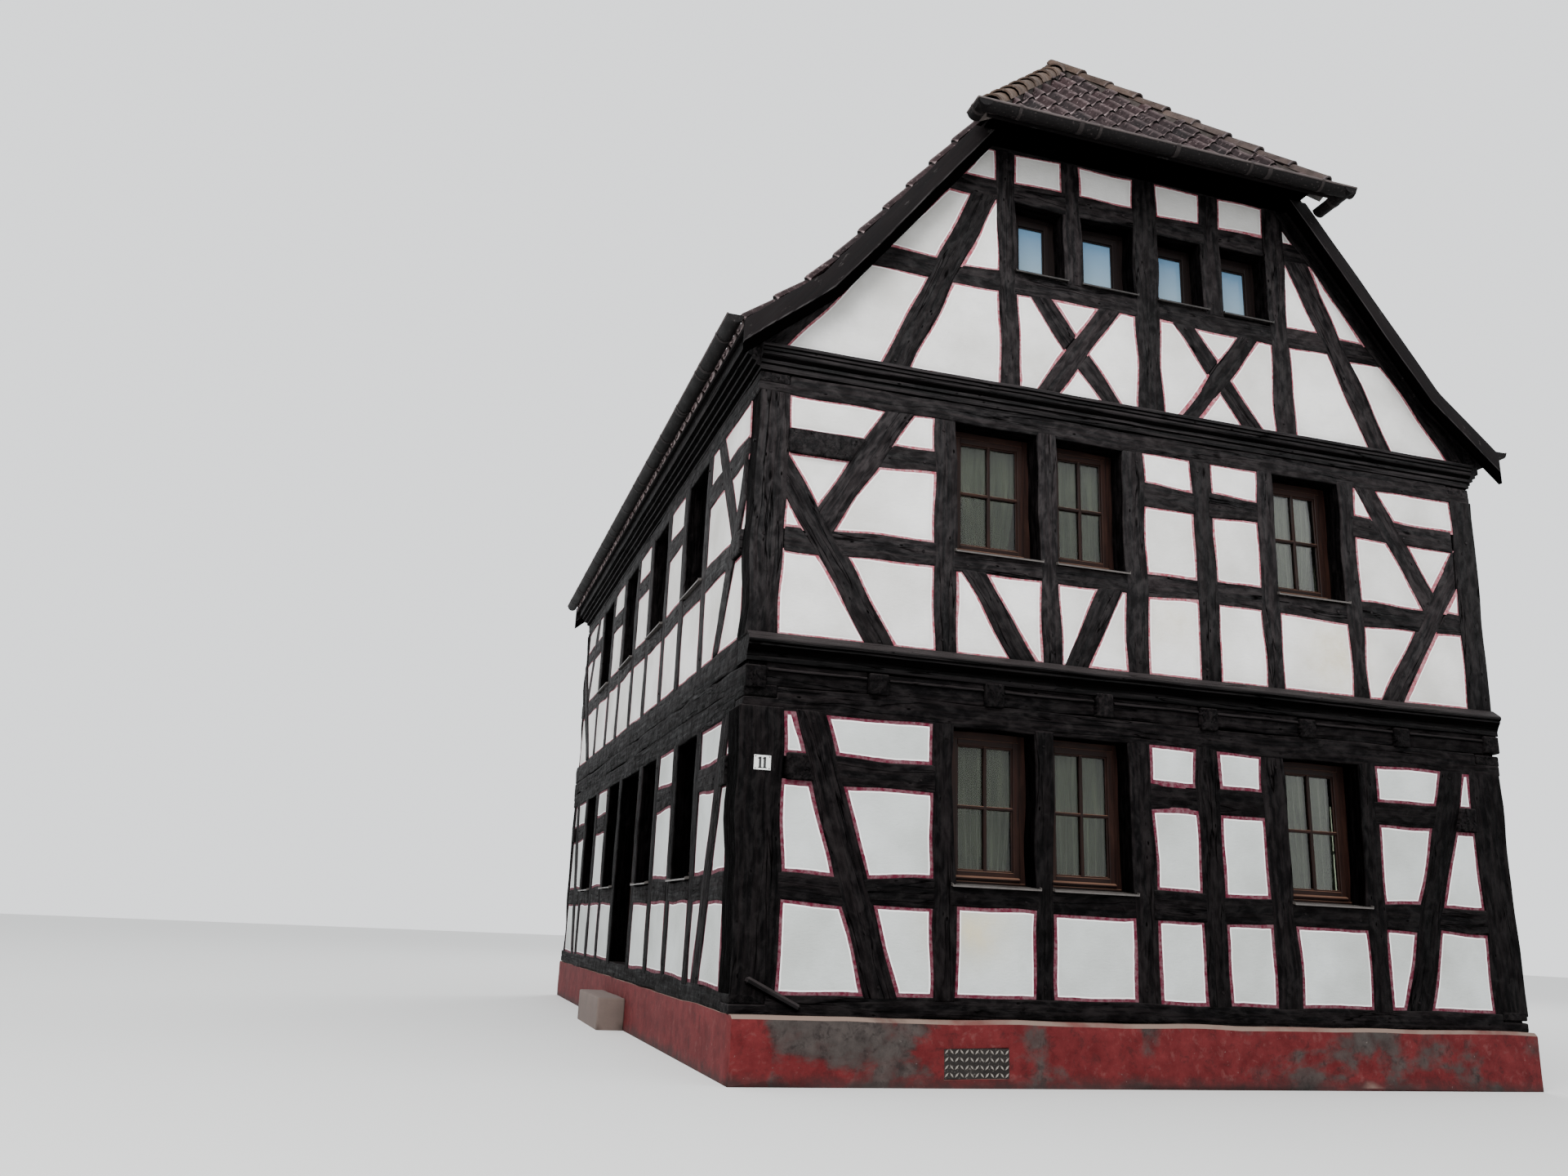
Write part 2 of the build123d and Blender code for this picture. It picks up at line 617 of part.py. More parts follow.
def build_eaves():
    """Boxed eaves with a stepped, moulded underside along both long sides."""
    out = CORNICE_STEP * CORNICE_LEAN
    points = [(INNER_HALF_WIDTH, Z_BAND), (HALF_WIDTH, Z_BAND)]
    for index in range(CORNICE_STEPS):
        points.append((HALF_WIDTH + out * index, Z_BAND + CORNICE_STEP * (index + CORNICE_FILLET)))
        points.append((HALF_WIDTH + out * (index + 1), Z_BAND + CORNICE_STEP * (index + 1)))
    edge = HALF_WIDTH + out * CORNICE_STEPS
    points += [
        (edge, roof_top(edge, ROOF_THICKNESS)),
        (INNER_HALF_WIDTH, roof_top(INNER_HALF_WIDTH, ROOF_THICKNESS)),
    ]
    section = Plane(origin=(0, -HALF_DEPTH, 0), x_dir=(1, 0, 0), z_dir=(0, -1, 0))
    cornice = extrude(section * outline(points), amount=HOUSE_DEPTH, dir=(0, 1, 0))
    for wall in (STREET, BACK):
        cornice = cornice - block(wall, -HALF_WIDTH, HALF_WIDTH, Z_BAND, RIDGE_HEIGHT)
    for turn in (0, 180):
        add("eaves_cornices", Rot(0, 0, turn) * cornice)


def gutter(length):
    """Half-round gutter with closed ends, its rim at z 0 and its middle at the origin."""
    trough = Cylinder(GUTTER_RADIUS, length, rotation=(0, 90, 0))
    trough = trough - Cylinder(GUTTER_RADIUS - GUTTER_WALL, length - 2 * GUTTER_WALL, rotation=(0, 90, 0))
    return trough & Pos(0, 0, -GUTTER_RADIUS / 2) * Box(length, 2 * GUTTER_RADIUS, GUTTER_RADIUS)


def build_gutters(hip_half):
    eave_z = roof_top(EAVE_X) - GUTTER_DROP
    along = Rot(0, 0, 90) * gutter(2 * VERGE_Y)
    for side in (-1, 1):
        add("eaves_gutters", Pos(side * (EAVE_X + GUTTER_RADIUS), 0, eave_z) * along)
    hip = gutter(2 * (hip_half + HIP_GUTTER_OVERRUN))
    for side in (-1, 1):
        out = side * (HIP_EAVE_Y + GUTTER_RADIUS)
        add("hip_gutters", Pos(0, out, HIP_EAVE_HEIGHT - HIP_GUTTER_DROP) * hip)


def build_gable(wall):
    """One gable wall above its band, up to the plate that carries the half-hip."""
    def rafter_inner(z):
        return (RIDGE_HEIGHT - (ROOF_THICKNESS + VERGE_RAFTER) / cos(radians(MAIN_PITCH)) - z) / MAIN_RISE

    def rafter_outer(z):
        return (RIDGE_HEIGHT - MAIN_DROP - z) / MAIN_RISE

    bend = kink_x(ROOF_THICKNESS)
    rafter = [
        (rafter_inner(Z_GABLE), Z_GABLE),
        (HALF_WIDTH, Z_GABLE),
        (HALF_WIDTH, roof_top(HALF_WIDTH, ROOF_THICKNESS)),
        (bend, roof_top(bend, ROOF_THICKNESS)),
        (rafter_outer(Z_TOP), Z_TOP),
        (rafter_inner(Z_TOP), Z_TOP),
    ]
    add("verge_rafters", prism(wall, rafter), prism(wall, mirrored(rafter, 0)))
    plate = [
        (-rafter_inner(Z_TOP_PLATE), Z_TOP_PLATE),
        (rafter_inner(Z_TOP_PLATE), Z_TOP_PLATE),
        (rafter_inner(Z_TOP), Z_TOP),
        (-rafter_inner(Z_TOP), Z_TOP),
    ]
    add("gable_top_plates", prism(wall, plate))

    field = outline(
        [
            (-rafter_inner(Z_GABLE), Z_GABLE),
            (rafter_inner(Z_GABLE), Z_GABLE),
            (rafter_inner(Z_TOP_PLATE), Z_TOP_PLATE),
            (-rafter_inner(Z_TOP_PLATE), Z_TOP_PLATE),
        ]
    )
    posts, windows, crosses = [], [], []
    u = GABLE_START
    for index, width in enumerate(GABLE_POSTS):
        posts.append(rectangle(u, u + width, Z_GABLE, Z_TOP_PLATE))
        u += width
        if index == len(GABLE_WINDOWS):
            break
        left, right = GABLE_WINDOWS[index]
        middle = GABLE_WINDOW_POSTS[index]
        crosses.append((u, u + left + middle + right))
        windows += [(u, u + left), (u + left + middle, u + left + middle + right)]
        posts.append(rectangle(u + left, u + left + middle, Z_ATTIC_WINDOW, Z_TOP_PLATE))
        u += left + middle + right
    end = u

    braces = []
    for side, foot_edge in ((-1, GABLE_START), (1, end)):
        head_z = Z_HIGH_RAIL
        points = [
            (foot_edge + side * GABLE_BRACE_FOOT, Z_GABLE),
            (foot_edge + side * (GABLE_BRACE_FOOT + BRACE_WIDTH), Z_GABLE),
            (foot_edge + side * (GABLE_BRACE_HEAD + BRACE_WIDTH), head_z),
            (foot_edge + side * GABLE_BRACE_HEAD, head_z),
        ]
        braces.append(outline(points if side > 0 else points[::-1]) & field)
    for brace in braces:
        add_faces("gable_braces", wall, brace)

    half = TIMBER_DEPTH / 2
    cross_shapes = []
    for u0, u1 in crosses:
        falling = [
            (u0 + CROSS_BRACE_INSET, Z_BREAST),
            (u0 + CROSS_BRACE_INSET + CROSS_BRACE_WIDTH, Z_BREAST),
            (u1 - CROSS_BRACE_INSET, Z_GABLE),
            (u1 - CROSS_BRACE_INSET - CROSS_BRACE_WIDTH, Z_GABLE),
        ]
        rising = mirrored(falling, (u0 + u1) / 2)
        lap = outline(falling) & outline(rising)
        front_half = thicken(wall, lap.faces()[0], half)
        back_half = thicken(wall, lap.faces()[0], half, -half)
        add("cross_braces_falling", prism(wall, falling) - front_half)
        add("cross_braces_rising", prism(wall, rising) - back_half)
        cross_shapes += [outline(falling), outline(rising)]

    whole_width = rectangle(-HALF_WIDTH, HALF_WIDTH, Z_BREAST, Z_ATTIC_WINDOW)
    whole_width = whole_width + rectangle(-HALF_WIDTH, HALF_WIDTH, Z_HIGH_RAIL, Z_TOP_PANEL)
    rails = whole_width & field
    for timber in posts + braces:
        rails = rails - timber
    add_faces("gable_rails", wall, rails)
    for post in posts:
        add_faces("gable_posts", wall, post & field)
    panels = field - rails
    for timber in posts + braces + cross_shapes:
        panels = panels - timber
    for u0, u1 in windows:
        panels = panels - rectangle(u0, u1, Z_ATTIC_WINDOW, Z_HIGH_RAIL)
        frame_window(wall, u0, u1, Z_ATTIC_WINDOW, Z_HIGH_RAIL)
    add_faces("gable_infill", wall, panels, INFILL_DEPTH, -INFILL_SETBACK)


def build_hip_boxes():
    """Closed box under each half-hip's overhang, which stands on the gable's top plate."""
    box_line = HIP_EAVE_Y + HIP_BOX_SETBACK
    under = space_under_roof(ROOF_THICKNESS, ROOF_FLOOR, EAVE_X + 1, HIP_EAVE_Y + 1, box_line)
    front = HIP_EAVE_Y - HIP_BOX_SETBACK
    profile = Plane.YZ.offset(-EAVE_X) * Polygon(
        (-INNER_HALF_DEPTH, Z_TOP),
        (-HALF_DEPTH, Z_TOP),
        (-HALF_DEPTH, HIP_SOFFIT),
        (-front + 2 * HIP_BOX_EDGE, HIP_SOFFIT),
        (-front, HIP_SOFFIT + HIP_BOX_EDGE),
        (-front, RIDGE_HEIGHT),
        (-INNER_HALF_DEPTH, RIDGE_HEIGHT),
        align=None,
    )
    box = extrude(profile, amount=2 * EAVE_X, dir=(1, 0, 0)) & under
    for turn in (0, 180):
        add("hip_eaves_boxes", Rot(0, 0, turn) * box)


build_plinth()
build_floors()
lapped_ring("ground_sill", Z_SILL, GROUND_SILL_HEIGHT)
lapped_ring("ground_plate", Z_GROUND_PLATE, GROUND_PLATE_HEIGHT)
lapped_ring("upper_plate", Z_UPPER_PLATE, UPPER_PLATE_HEIGHT)
SILL_STEPS = ((0, 0), (0.3, 0), (0.3, 0.17), (0.8, 0.5), (0.8, 0.56), (0.8, 0.78), (0, 1))
sill_curves = {2: -0.05, 4: 0.2}
moulded_beam(
    "upper_sill_gable_beams", Z_UPPER_SILL, UPPER_SILL_HEIGHT, SILL_PROJECTION, SILL_STEPS, sill_curves
)
BAND_STEPS = (
    (0, 0),
    (0.18, 0),
    (0.18, 0.2),
    (0.36, 0.24),
    (0.36, 0.36),
    (0.7, 0.56),
    (0.7, 0.62),
    (0.84, 0.64),
    (0.84, 0.74),
    (1, 0.76),
    (1, 0.88),
    (0, 1),
)
moulded_beam("gable_bands", Z_BAND, BAND_HEIGHT, BAND_PROJECTION, BAND_STEPS, {4: 0.08})
for side_wall in (YARD, FAR_SIDE):
    add("upper_sill_side_beams", block(side_wall, -INNER_HALF_DEPTH, INNER_HALF_DEPTH, Z_UPPER_SILL, Z_UPPER))

GROUND_LEVELS = (GROUND_CORNER, Z_GROUND, Z_GROUND_PLATE, GROUND_LOW_RAIL, GROUND_HIGH_RAIL, GROUND_BREAST)
UPPER_LEVELS = (UPPER_CORNER, Z_UPPER, Z_UPPER_PLATE, UPPER_LOW_RAIL, UPPER_HIGH_RAIL, UPPER_BREAST)
corner_posts("ground", GROUND_CORNER, Z_GROUND, Z_GROUND_PLATE)
corner_posts("upper", UPPER_CORNER, Z_UPPER, Z_UPPER_PLATE)
ground_front_bays = filled(GROUND_BAYS, GROUND_POSTS, GROUND_CORNER, HOUSE_WIDTH)
for gable_wall in (STREET, BACK):
    ground_gable = (GROUND_KINDS, ground_front_bays, GROUND_POSTS, GROUND_LEVELS)
    upper_gable = (UPPER_KINDS, UPPER_BAYS, UPPER_POSTS, UPPER_LEVELS)
    raise_storey("ground", gable_wall, HALF_WIDTH, *ground_gable, ground_braces)
    raise_storey("upper", gable_wall, HALF_WIDTH, *upper_gable, upper_braces)
    build_gable(gable_wall)
for side_wall, ground_kinds in ((YARD, YARD_KINDS), (FAR_SIDE, SIDE_KINDS)):
    ground_row = (ground_kinds, *side_layout(ground_kinds, GROUND_CORNER, HOUSE_DEPTH), GROUND_LEVELS)
    upper_row = (SIDE_KINDS, *side_layout(SIDE_KINDS, UPPER_CORNER, HOUSE_DEPTH), UPPER_LEVELS)
    raise_storey("ground", side_wall, HALF_DEPTH, *ground_row, ground_braces)
    raise_storey("upper", side_wall, HALF_DEPTH, *upper_row, upper_braces)

hip_half_width = build_roof()
build_verges()
build_eaves()
build_hip_boxes()
build_gutters(hip_half_width)
add("door_step", block(YARD, -STEP_WIDTH / 2, STEP_WIDTH / 2, 0, STEP_HEIGHT, STEP_DEPTH, STEP_DEPTH))
plate_u = -HALF_WIDTH + PLATE_FROM_CORNER
add(
    "number_plate",
    block(
        STREET,
        plate_u - PLATE_WIDTH / 2,
        plate_u + PLATE_WIDTH / 2,
        PLATE_CENTRE_HEIGHT - PLATE_HEIGHT / 2,
        PLATE_CENTRE_HEIGHT + PLATE_HEIGHT / 2,
        PLATE_THICKNESS,
        PLATE_THICKNESS,
    ),
)

for name, solids in nodes.items():
    export_step(Compound(children=solids), f"parts/{name}.step")
    print(name, len(solids))
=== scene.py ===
import math
import random

import bmesh
import bpy
from mathutils import Matrix, Vector, noise


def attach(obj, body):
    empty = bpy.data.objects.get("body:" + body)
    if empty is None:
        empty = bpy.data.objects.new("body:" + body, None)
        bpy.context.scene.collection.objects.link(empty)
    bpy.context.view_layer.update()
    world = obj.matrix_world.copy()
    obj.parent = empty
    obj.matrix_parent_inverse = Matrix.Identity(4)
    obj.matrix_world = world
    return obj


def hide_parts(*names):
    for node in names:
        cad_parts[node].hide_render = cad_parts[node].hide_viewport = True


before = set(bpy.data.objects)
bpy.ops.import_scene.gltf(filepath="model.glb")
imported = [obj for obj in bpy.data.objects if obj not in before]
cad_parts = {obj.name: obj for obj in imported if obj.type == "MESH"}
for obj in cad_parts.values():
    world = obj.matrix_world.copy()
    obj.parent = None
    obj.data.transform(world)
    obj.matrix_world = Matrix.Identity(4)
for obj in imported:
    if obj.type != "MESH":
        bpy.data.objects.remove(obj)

noise.seed_set(1)        # without a seed the noise vectors differ from run to run
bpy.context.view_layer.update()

# Sizes shared by several pieces, in metres, with the street front facing -Y
house = {"halfWidth": 3.25, "halfDepth": 4.5, "timber": 0.24, "reveal": 0.17}
skyward = Vector((0, 0, 1))


def dimmed(colour, share):
    return tuple(share * part for part in colour)


# A material in the making: its colour is laid on in coats and its relief in bumps
class Finish:
    def __init__(self, name):
        self.material = bpy.data.materials.new(name)
        self.material.use_nodes = True
        self.shader = self.material.node_tree.nodes["Principled BSDF"]
        self.colour = self.relief = None

    # Joins a socket to another node's output, or sets it to a number or a colour
    def feed(self, socket, value):
        if isinstance(value, bpy.types.NodeSocket):
            self.material.node_tree.links.new(value, socket)
        else:
            socket.default_value = (*value, 1) if socket.type == "RGBA" else value

    def add(self, kind, inputs=None, **settings):
        node = self.material.node_tree.nodes.new("ShaderNode" + kind)
        for key, value in settings.items():
            setattr(node, key, value)
        for key, value in (inputs or {}).items():
            self.feed(node.inputs[key], value)
        return node.outputs

    def mapped(self, place, stretch):
        return self.add("Mapping", {"Vector": place, "Scale": stretch})[0]

    def point(self, stretch=(1, 1, 1)):
        return self.mapped(self.add("TexCoord")["Object"], stretch)

    def stored(self, name, stretch=(1, 1, 1)):
        return self.mapped(self.add("Attribute", attribute_name=name)["Vector"], stretch)

    def number(self, name):
        return self.add("Attribute", attribute_name=name)["Fac"]

    def axes(self, vector):
        return self.add("SeparateXYZ", {"Vector": vector})

    def height(self):
        return self.axes(self.point())[2]

    def facingUp(self):
        return self.axes(self.add("NewGeometry")["Normal"])[2]

    def cloud(self, place, scale, detail, roughness=0.55, distortion=0.0):
        return self.add("TexNoise", {
            "Vector": place, "Scale": scale, "Detail": detail, "Roughness": roughness,
            "Distortion": distortion})["Fac"]

    # Noise drawn out along the grain of the wood
    def fibre(self, stretch, detail, roughness, distortion=0.0):
        return self.cloud(self.stored("grain", stretch), 1.0, detail, roughness, distortion)

    def spots(self, stretch):
        return self.add("TexVoronoi", {"Vector": self.stored("grain", stretch), "Scale": 1.0})["Distance"]

    def ramp(self, source, low, high, first=0.0, second=1.0):
        return self.add("MapRange", {"Value": source, "From Min": low, "From Max": high, "To Min": first,
                                     "To Max": second}, clamp=True)[0]

    def sums(self, operation, *values):
        return self.add("Math", dict(enumerate(values)), operation=operation)[0]

    def times(self, first, second):
        return self.sums("MULTIPLY", first, second)

    def plus(self, first, second):
        return self.sums("ADD", first, second)

    def mix(self, factor, first, second, mode="MIX"):
        return self.add("Mix", {0: factor, 6: first, 7: second}, data_type="RGBA", blend_type=mode)[2]

    def coat(self, factor, colour, mode="MIX"):
        self.colour = self.mix(factor, self.colour, colour, mode)

    # Darkens or lightens the colour so far by a number
    def shade(self, tone):
        self.coat(1.0, self.add("CombineColor", {"Red": tone, "Green": tone, "Blue": tone})[0], "MULTIPLY")

    def bump(self, height, distance, strength):
        inputs = {"Height": height, "Distance": distance, "Strength": strength}
        if self.relief is not None:
            inputs["Normal"] = self.relief
        self.relief = self.add("Bump", inputs)[0]

    # Joins colour and relief to the shader and sets its other sockets
    def seal(self, roughness, specular=None, **others):
        values = {"Base Color": self.colour, "Normal": self.relief, "Roughness": roughness, **others}
        if specular is not None:
            values["Specular IOR Level"] = specular
        for key, value in values.items():
            self.feed(self.shader.inputs[key], value)
        return self.material


timberLook = {
    "dark": (0.0018, 0.0014, 0.0017), "light": (0.0108, 0.0084, 0.0088), "worn": (0.034, 0.028, 0.028),
    "crack": (0.0004, 0.0003, 0.0003), "lumps": 0.50, "shine": 0.17, "dustAndTopHighlight": 0.3, "sootAndUndersideShade": 0.3,
    "blackBelow": 2.7, "greyAbove": 3.4,
}


# Hand-hewn oak under old black paint: fibres, cracks, knots and worm holes run along each timber
def makeTimber(name, look):
    m = Finish(name)
    fibres = m.fibre((1.8, 38, 38), 6, 0.62, 0.25)
    broad = m.fibre((0.9, 4, 4), 4, 0.5)
    lumps = m.fibre((8, 19, 19), 4, 0.55, 0.5)
    ragged = m.fibre((7, 30, 30), 4, 0.6)
    split = m.fibre((0.75, 13, 13), 3, 0.45, 0.1)
    crack = m.ramp(m.sums("ABSOLUTE", m.sums("SUBTRACT", split, 0.5)), 0.0, 0.013, 1, 0)
    crack = m.times(crack, m.ramp(broad, 0.46, 0.56))
    knot = m.plus(m.spots((1.9, 6, 6)), m.ramp(ragged, 0.2, 0.8, -0.05, 0.05))
    knot = m.ramp(knot, 0.03, 0.09, 0.8, 0)
    hole = m.times(m.ramp(m.spots((7, 17, 17)), 0.06, 0.14, 1, 0), m.ramp(lumps, 0.50, 0.58))
    pits = m.sums("MAXIMUM", m.sums("MAXIMUM", crack, knot), hole)
    m.colour = m.mix(m.ramp(fibres, 0.43, 0.59), look["dark"], look["light"])
    # raised lumps are lighter and low ones darker: wear, with a painted highlight and painted shade on the
    # relief
    m.coat(m.ramp(lumps, 0.48, 0.72, 0, 0.6 * look["lumps"]), look["worn"])
    m.coat(m.ramp(lumps, 0.28, 0.50, look["lumps"], 0), look["crack"])
    out, side, tone = m.axes(m.stored("section"))
    across, along = m.sums("ABSOLUTE", out), m.sums("ABSOLUTE", side)
    edge = m.plus(m.sums("MINIMUM", across, along), m.ramp(ragged, 0.2, 0.8, -0.10, 0.06))
    m.coat(m.ramp(edge, 0.95, 1.03, 0, 0.55), look["worn"])
    # the ground floor timbers are darker
    raised = m.ramp(m.height(), look["blackBelow"], look["greyAbove"])
    tone = m.times(m.ramp(tone, -1, 1, 0.7, 1.4), m.ramp(raised, 0, 1, 0.5, 1))
    # painted shade darkens the faces turned into the openings
    revealShade = m.times(m.ramp(along, 0.97, 1.0), m.ramp(across, 0.97, 0.88))
    m.shade(m.times(tone, m.ramp(revealShade, 0, 1, 1, 0.25)))
    m.coat(pits, look["crack"])
    # ledges of the mouldings hold pale dust with a painted highlight, and their undersides soot with painted
    # shade
    upward = m.facingUp()
    m.coat(m.ramp(upward, 0.15, 0.6, 0, look["dustAndTopHighlight"]), look["worn"])
    sootAndUndersideShade = m.ramp(upward, -0.12, -0.45, 0, look["sootAndUndersideShade"])
    m.coat(sootAndUndersideShade, look["crack"])
    shine = m.ramp(lumps, 0.38, 0.62, look["shine"] * (1 - look["lumps"]), look["shine"])
    for share in (m.ramp(raised, 0, 1, 0.35, 1), m.sums("SUBTRACT", 1, sootAndUndersideShade), m.sums("SUBTRACT", 1, pits),
                  m.ramp(revealShade, 0, 1, 1, 0.1)):
        shine = m.times(shine, share)
    m.bump(m.fibre((6.5, 11, 11), 2, 0.5), 0.034, 0.8)
    m.bump(lumps, 0.026 * look["lumps"], 0.9)
    m.bump(fibres, 0.012, 0.95)
    m.bump(m.times(pits, -1), 0.014, 1.0)
    return m.seal(m.ramp(fibres, 0.3, 0.7, 0.55, 0.9), shine)


plasterLook = {
    "lime": (0.70, 0.69, 0.675), "shade": (0.50, 0.49, 0.465), "stain": (0.52, 0.45, 0.29),
    "darkerBesideTimbers": (0.40, 0.385, 0.37), "fresh": (0.88, 0.87, 0.87), "groundShade": (0.70, 0.745, 0.75),
    "line": (0.24, 0.050, 0.068), "lineWidth": 0.0115, "lineStrength": 0.8,
    "groundLine": (0.070, 0.004, 0.015), "groundLineWidth": 0.021, "groundLineStrength": 0.93,
}


# Lime plaster with a thin red line round each panel; its sides are as far off as the rim attributes say
def makePlaster(name, look, line, width, strength, shadeTint=(1, 1, 1)):
    m = Finish(name)
    place = m.point()
    patch = m.cloud(place, 6.5, 5, 0.6)
    m.colour = m.mix(m.ramp(m.cloud(place, 1.7, 4, 0.5), 0.35, 0.7), look["lime"], look["shade"])
    m.coat(m.ramp(patch, 0.52, 0.75, 0, 0.35), look["shade"])
    m.shade(m.number("tone"))
    # a bluish painted shade darkens the ground storey's plaster
    m.coat(1.0, shadeTint, "MULTIPLY")
    m.coat(m.times(m.number("stain"), m.ramp(patch, 0.3, 0.65, 0.35, 1.0)), look["stain"])
    rim = 1.0
    for layer in ("rimNear", "rimFar"):
        for away in m.axes(m.stored(layer)):
            rim = m.sums("MINIMUM", rim, away)
    # the plaster is darker in a soft band beside the timbers
    ragged = m.ramp(m.cloud(place, 22, 4, 0.6), 0.2, 0.8, -0.012, 0.012)
    m.coat(m.ramp(m.plus(rim, ragged), 0.005, 0.055, 0.35, 0), look["darkerBesideTimbers"])
    edge = m.plus(rim, m.ramp(m.cloud(place, 9, 3, 0.5), 0.2, 0.8, -0.003, 0.003))
    # the brush left a strip of fresh white beside the red
    m.coat(m.ramp(edge, width + 0.007, width + 0.012, 0.8, 0), look["fresh"])
    faded = m.ramp(m.cloud(place, 30, 5, 0.65), 0.36, 0.6, strength, 1.0)
    m.coat(m.times(m.ramp(edge, width, width + 0.002, 1, 0), faded), line)
    m.bump(patch, 0.011, 0.5)
    m.bump(m.cloud(m.point((1, 1, 2.6)), 24, 3, 0.5, 0.5), 0.0035, 0.6)
    m.bump(m.cloud(place, 90, 4, 0.6), 0.0014, 0.6)
    return m.seal(0.9, 0.2)


windowLook = {
    "brown": (0.0135, 0.0038, 0.0020), "darkBrown": (0.0045, 0.0017, 0.0012), "worn": (0.04, 0.017, 0.011),
    "dustAndTopHighlight": (0.12, 0.062, 0.040), "attic": (0.0028, 0.0018, 0.0018), "glass": (0.80, 0.86, 0.72),
    # the sky colours paint a reflection of the sky onto the attic panes
    "sky": (0.145, 0.27, 0.41), "paleSkyReflection": (0.30, 0.40, 0.45), "net": (0.085, 0.088, 0.074),
    "netShade": (0.016, 0.018, 0.017), "sill": (0.050, 0.042, 0.038), "sillLip": (0.080, 0.071, 0.066),
    "atticFrom": 5.9, "atticFull": 6.1,
}


# Brown stained softwood with its grain along each bar
def makeWindowWood(look):
    m = Finish("brownStainedWood")
    grain = m.fibre((2.5, 70, 70), 5, 0.6, 0.3)
    m.colour = m.mix(m.ramp(grain, 0.35, 0.68), look["darkBrown"], look["brown"])
    m.coat(m.ramp(m.fibre((3, 9, 9), 3, 0.5), 0.55, 0.75, 0, 0.3), look["worn"])
    # upward faces are lighter, with dust and a painted highlight
    m.coat(m.ramp(m.facingUp(), 0.2, 0.7, 0, 0.9), look["dustAndTopHighlight"])
    # the attic windows are painted almost black
    m.coat(m.ramp(m.height(), look["atticFrom"], look["atticFull"], 0, 0.75), look["attic"])
    m.bump(grain, 0.0015, 0.5)
    return m.seal(m.ramp(grain, 0.3, 0.7, 0.42, 0.65), 0.14)


# Window glass; the attic's panes let less light through and carry a painted reflection of the sky, paler
# towards their feet
def makeGlass(name, colour, passes, roughness):
    m = Finish(name)
    place = m.point()
    streak = m.cloud(place, 2.2, 3, 0.5)
    m.colour = m.mix(m.ramp(streak, 0.3, 0.7), colour, dimmed(colour, 0.86))
    # a painted reflection of the sky, paler towards the foot of the attic panes
    m.coat(m.ramp(m.height(), 6.70, 6.28, 0, 1 - passes), windowLook["paleSkyReflection"])
    m.bump(streak, 0.004, 0.25)
    dirt = m.cloud(place, 14, 5, 0.6)
    return m.seal(m.ramp(dirt, 0.4, 0.8, roughness, roughness + 0.05), 0.16,
                  **{"Transmission Weight": passes, "IOR": 1.3})


# Fine white net whose weave follows the cloth's own width and drop
def makeNet(look):
    m = Finish("whiteNet")
    place = m.add("UVMap", uv_map="cloth")[0]
    threads = m.mapped(place, (420, 420, 1))
    folds = m.cloud(m.mapped(place, (9, 1.2, 1)), 1.0, 4)
    # painted shade streaks the cloth along its folds
    m.colour = m.mix(m.ramp(folds, 0.35, 0.65), look["net"], look["netShade"])
    # the cloth is darker towards its hem
    m.coat(m.ramp(m.axes(place)[1], 0.0, 0.8, 0.7, 0), look["netShade"])
    m.bump(m.add("TexVoronoi", {"Vector": threads, "Scale": 1.0, "Randomness": 0.25})[0], 0.0004, 0.5)
    return m.seal(0.9, **{"Sheen Weight": 0.25})


# Coated sheet metal with a painted highlight along its front lip
def makeSillMetal(look):
    m = Finish("coatedSillMetal")
    dirt = m.cloud(m.point((3, 3, 3)), 3.0, 6, 0.65)
    streak = m.cloud(m.point((14, 14, 2)), 1.5, 4, 0.6)
    m.colour = m.mix(m.ramp(dirt, 0.35, 0.7), look["sill"], dimmed(look["sill"], 0.55))
    raised = m.ramp(m.height(), look["atticFrom"], look["atticFull"])
    m.coat(raised, look["attic"])
    # the lip attribute places a painted highlight, weaker on the attic sills
    rubbed = m.times(m.number("lip"), m.ramp(streak, 0.3, 0.6, 0.45, 1.0))
    m.coat(m.times(rubbed, m.ramp(raised, 0, 1, 1, 0.3)), look["sillLip"])
    m.bump(dirt, 0.0015, 0.3)
    return m.seal(m.ramp(dirt, 0.3, 0.7, 0.35, 0.65), Metallic=0.25)


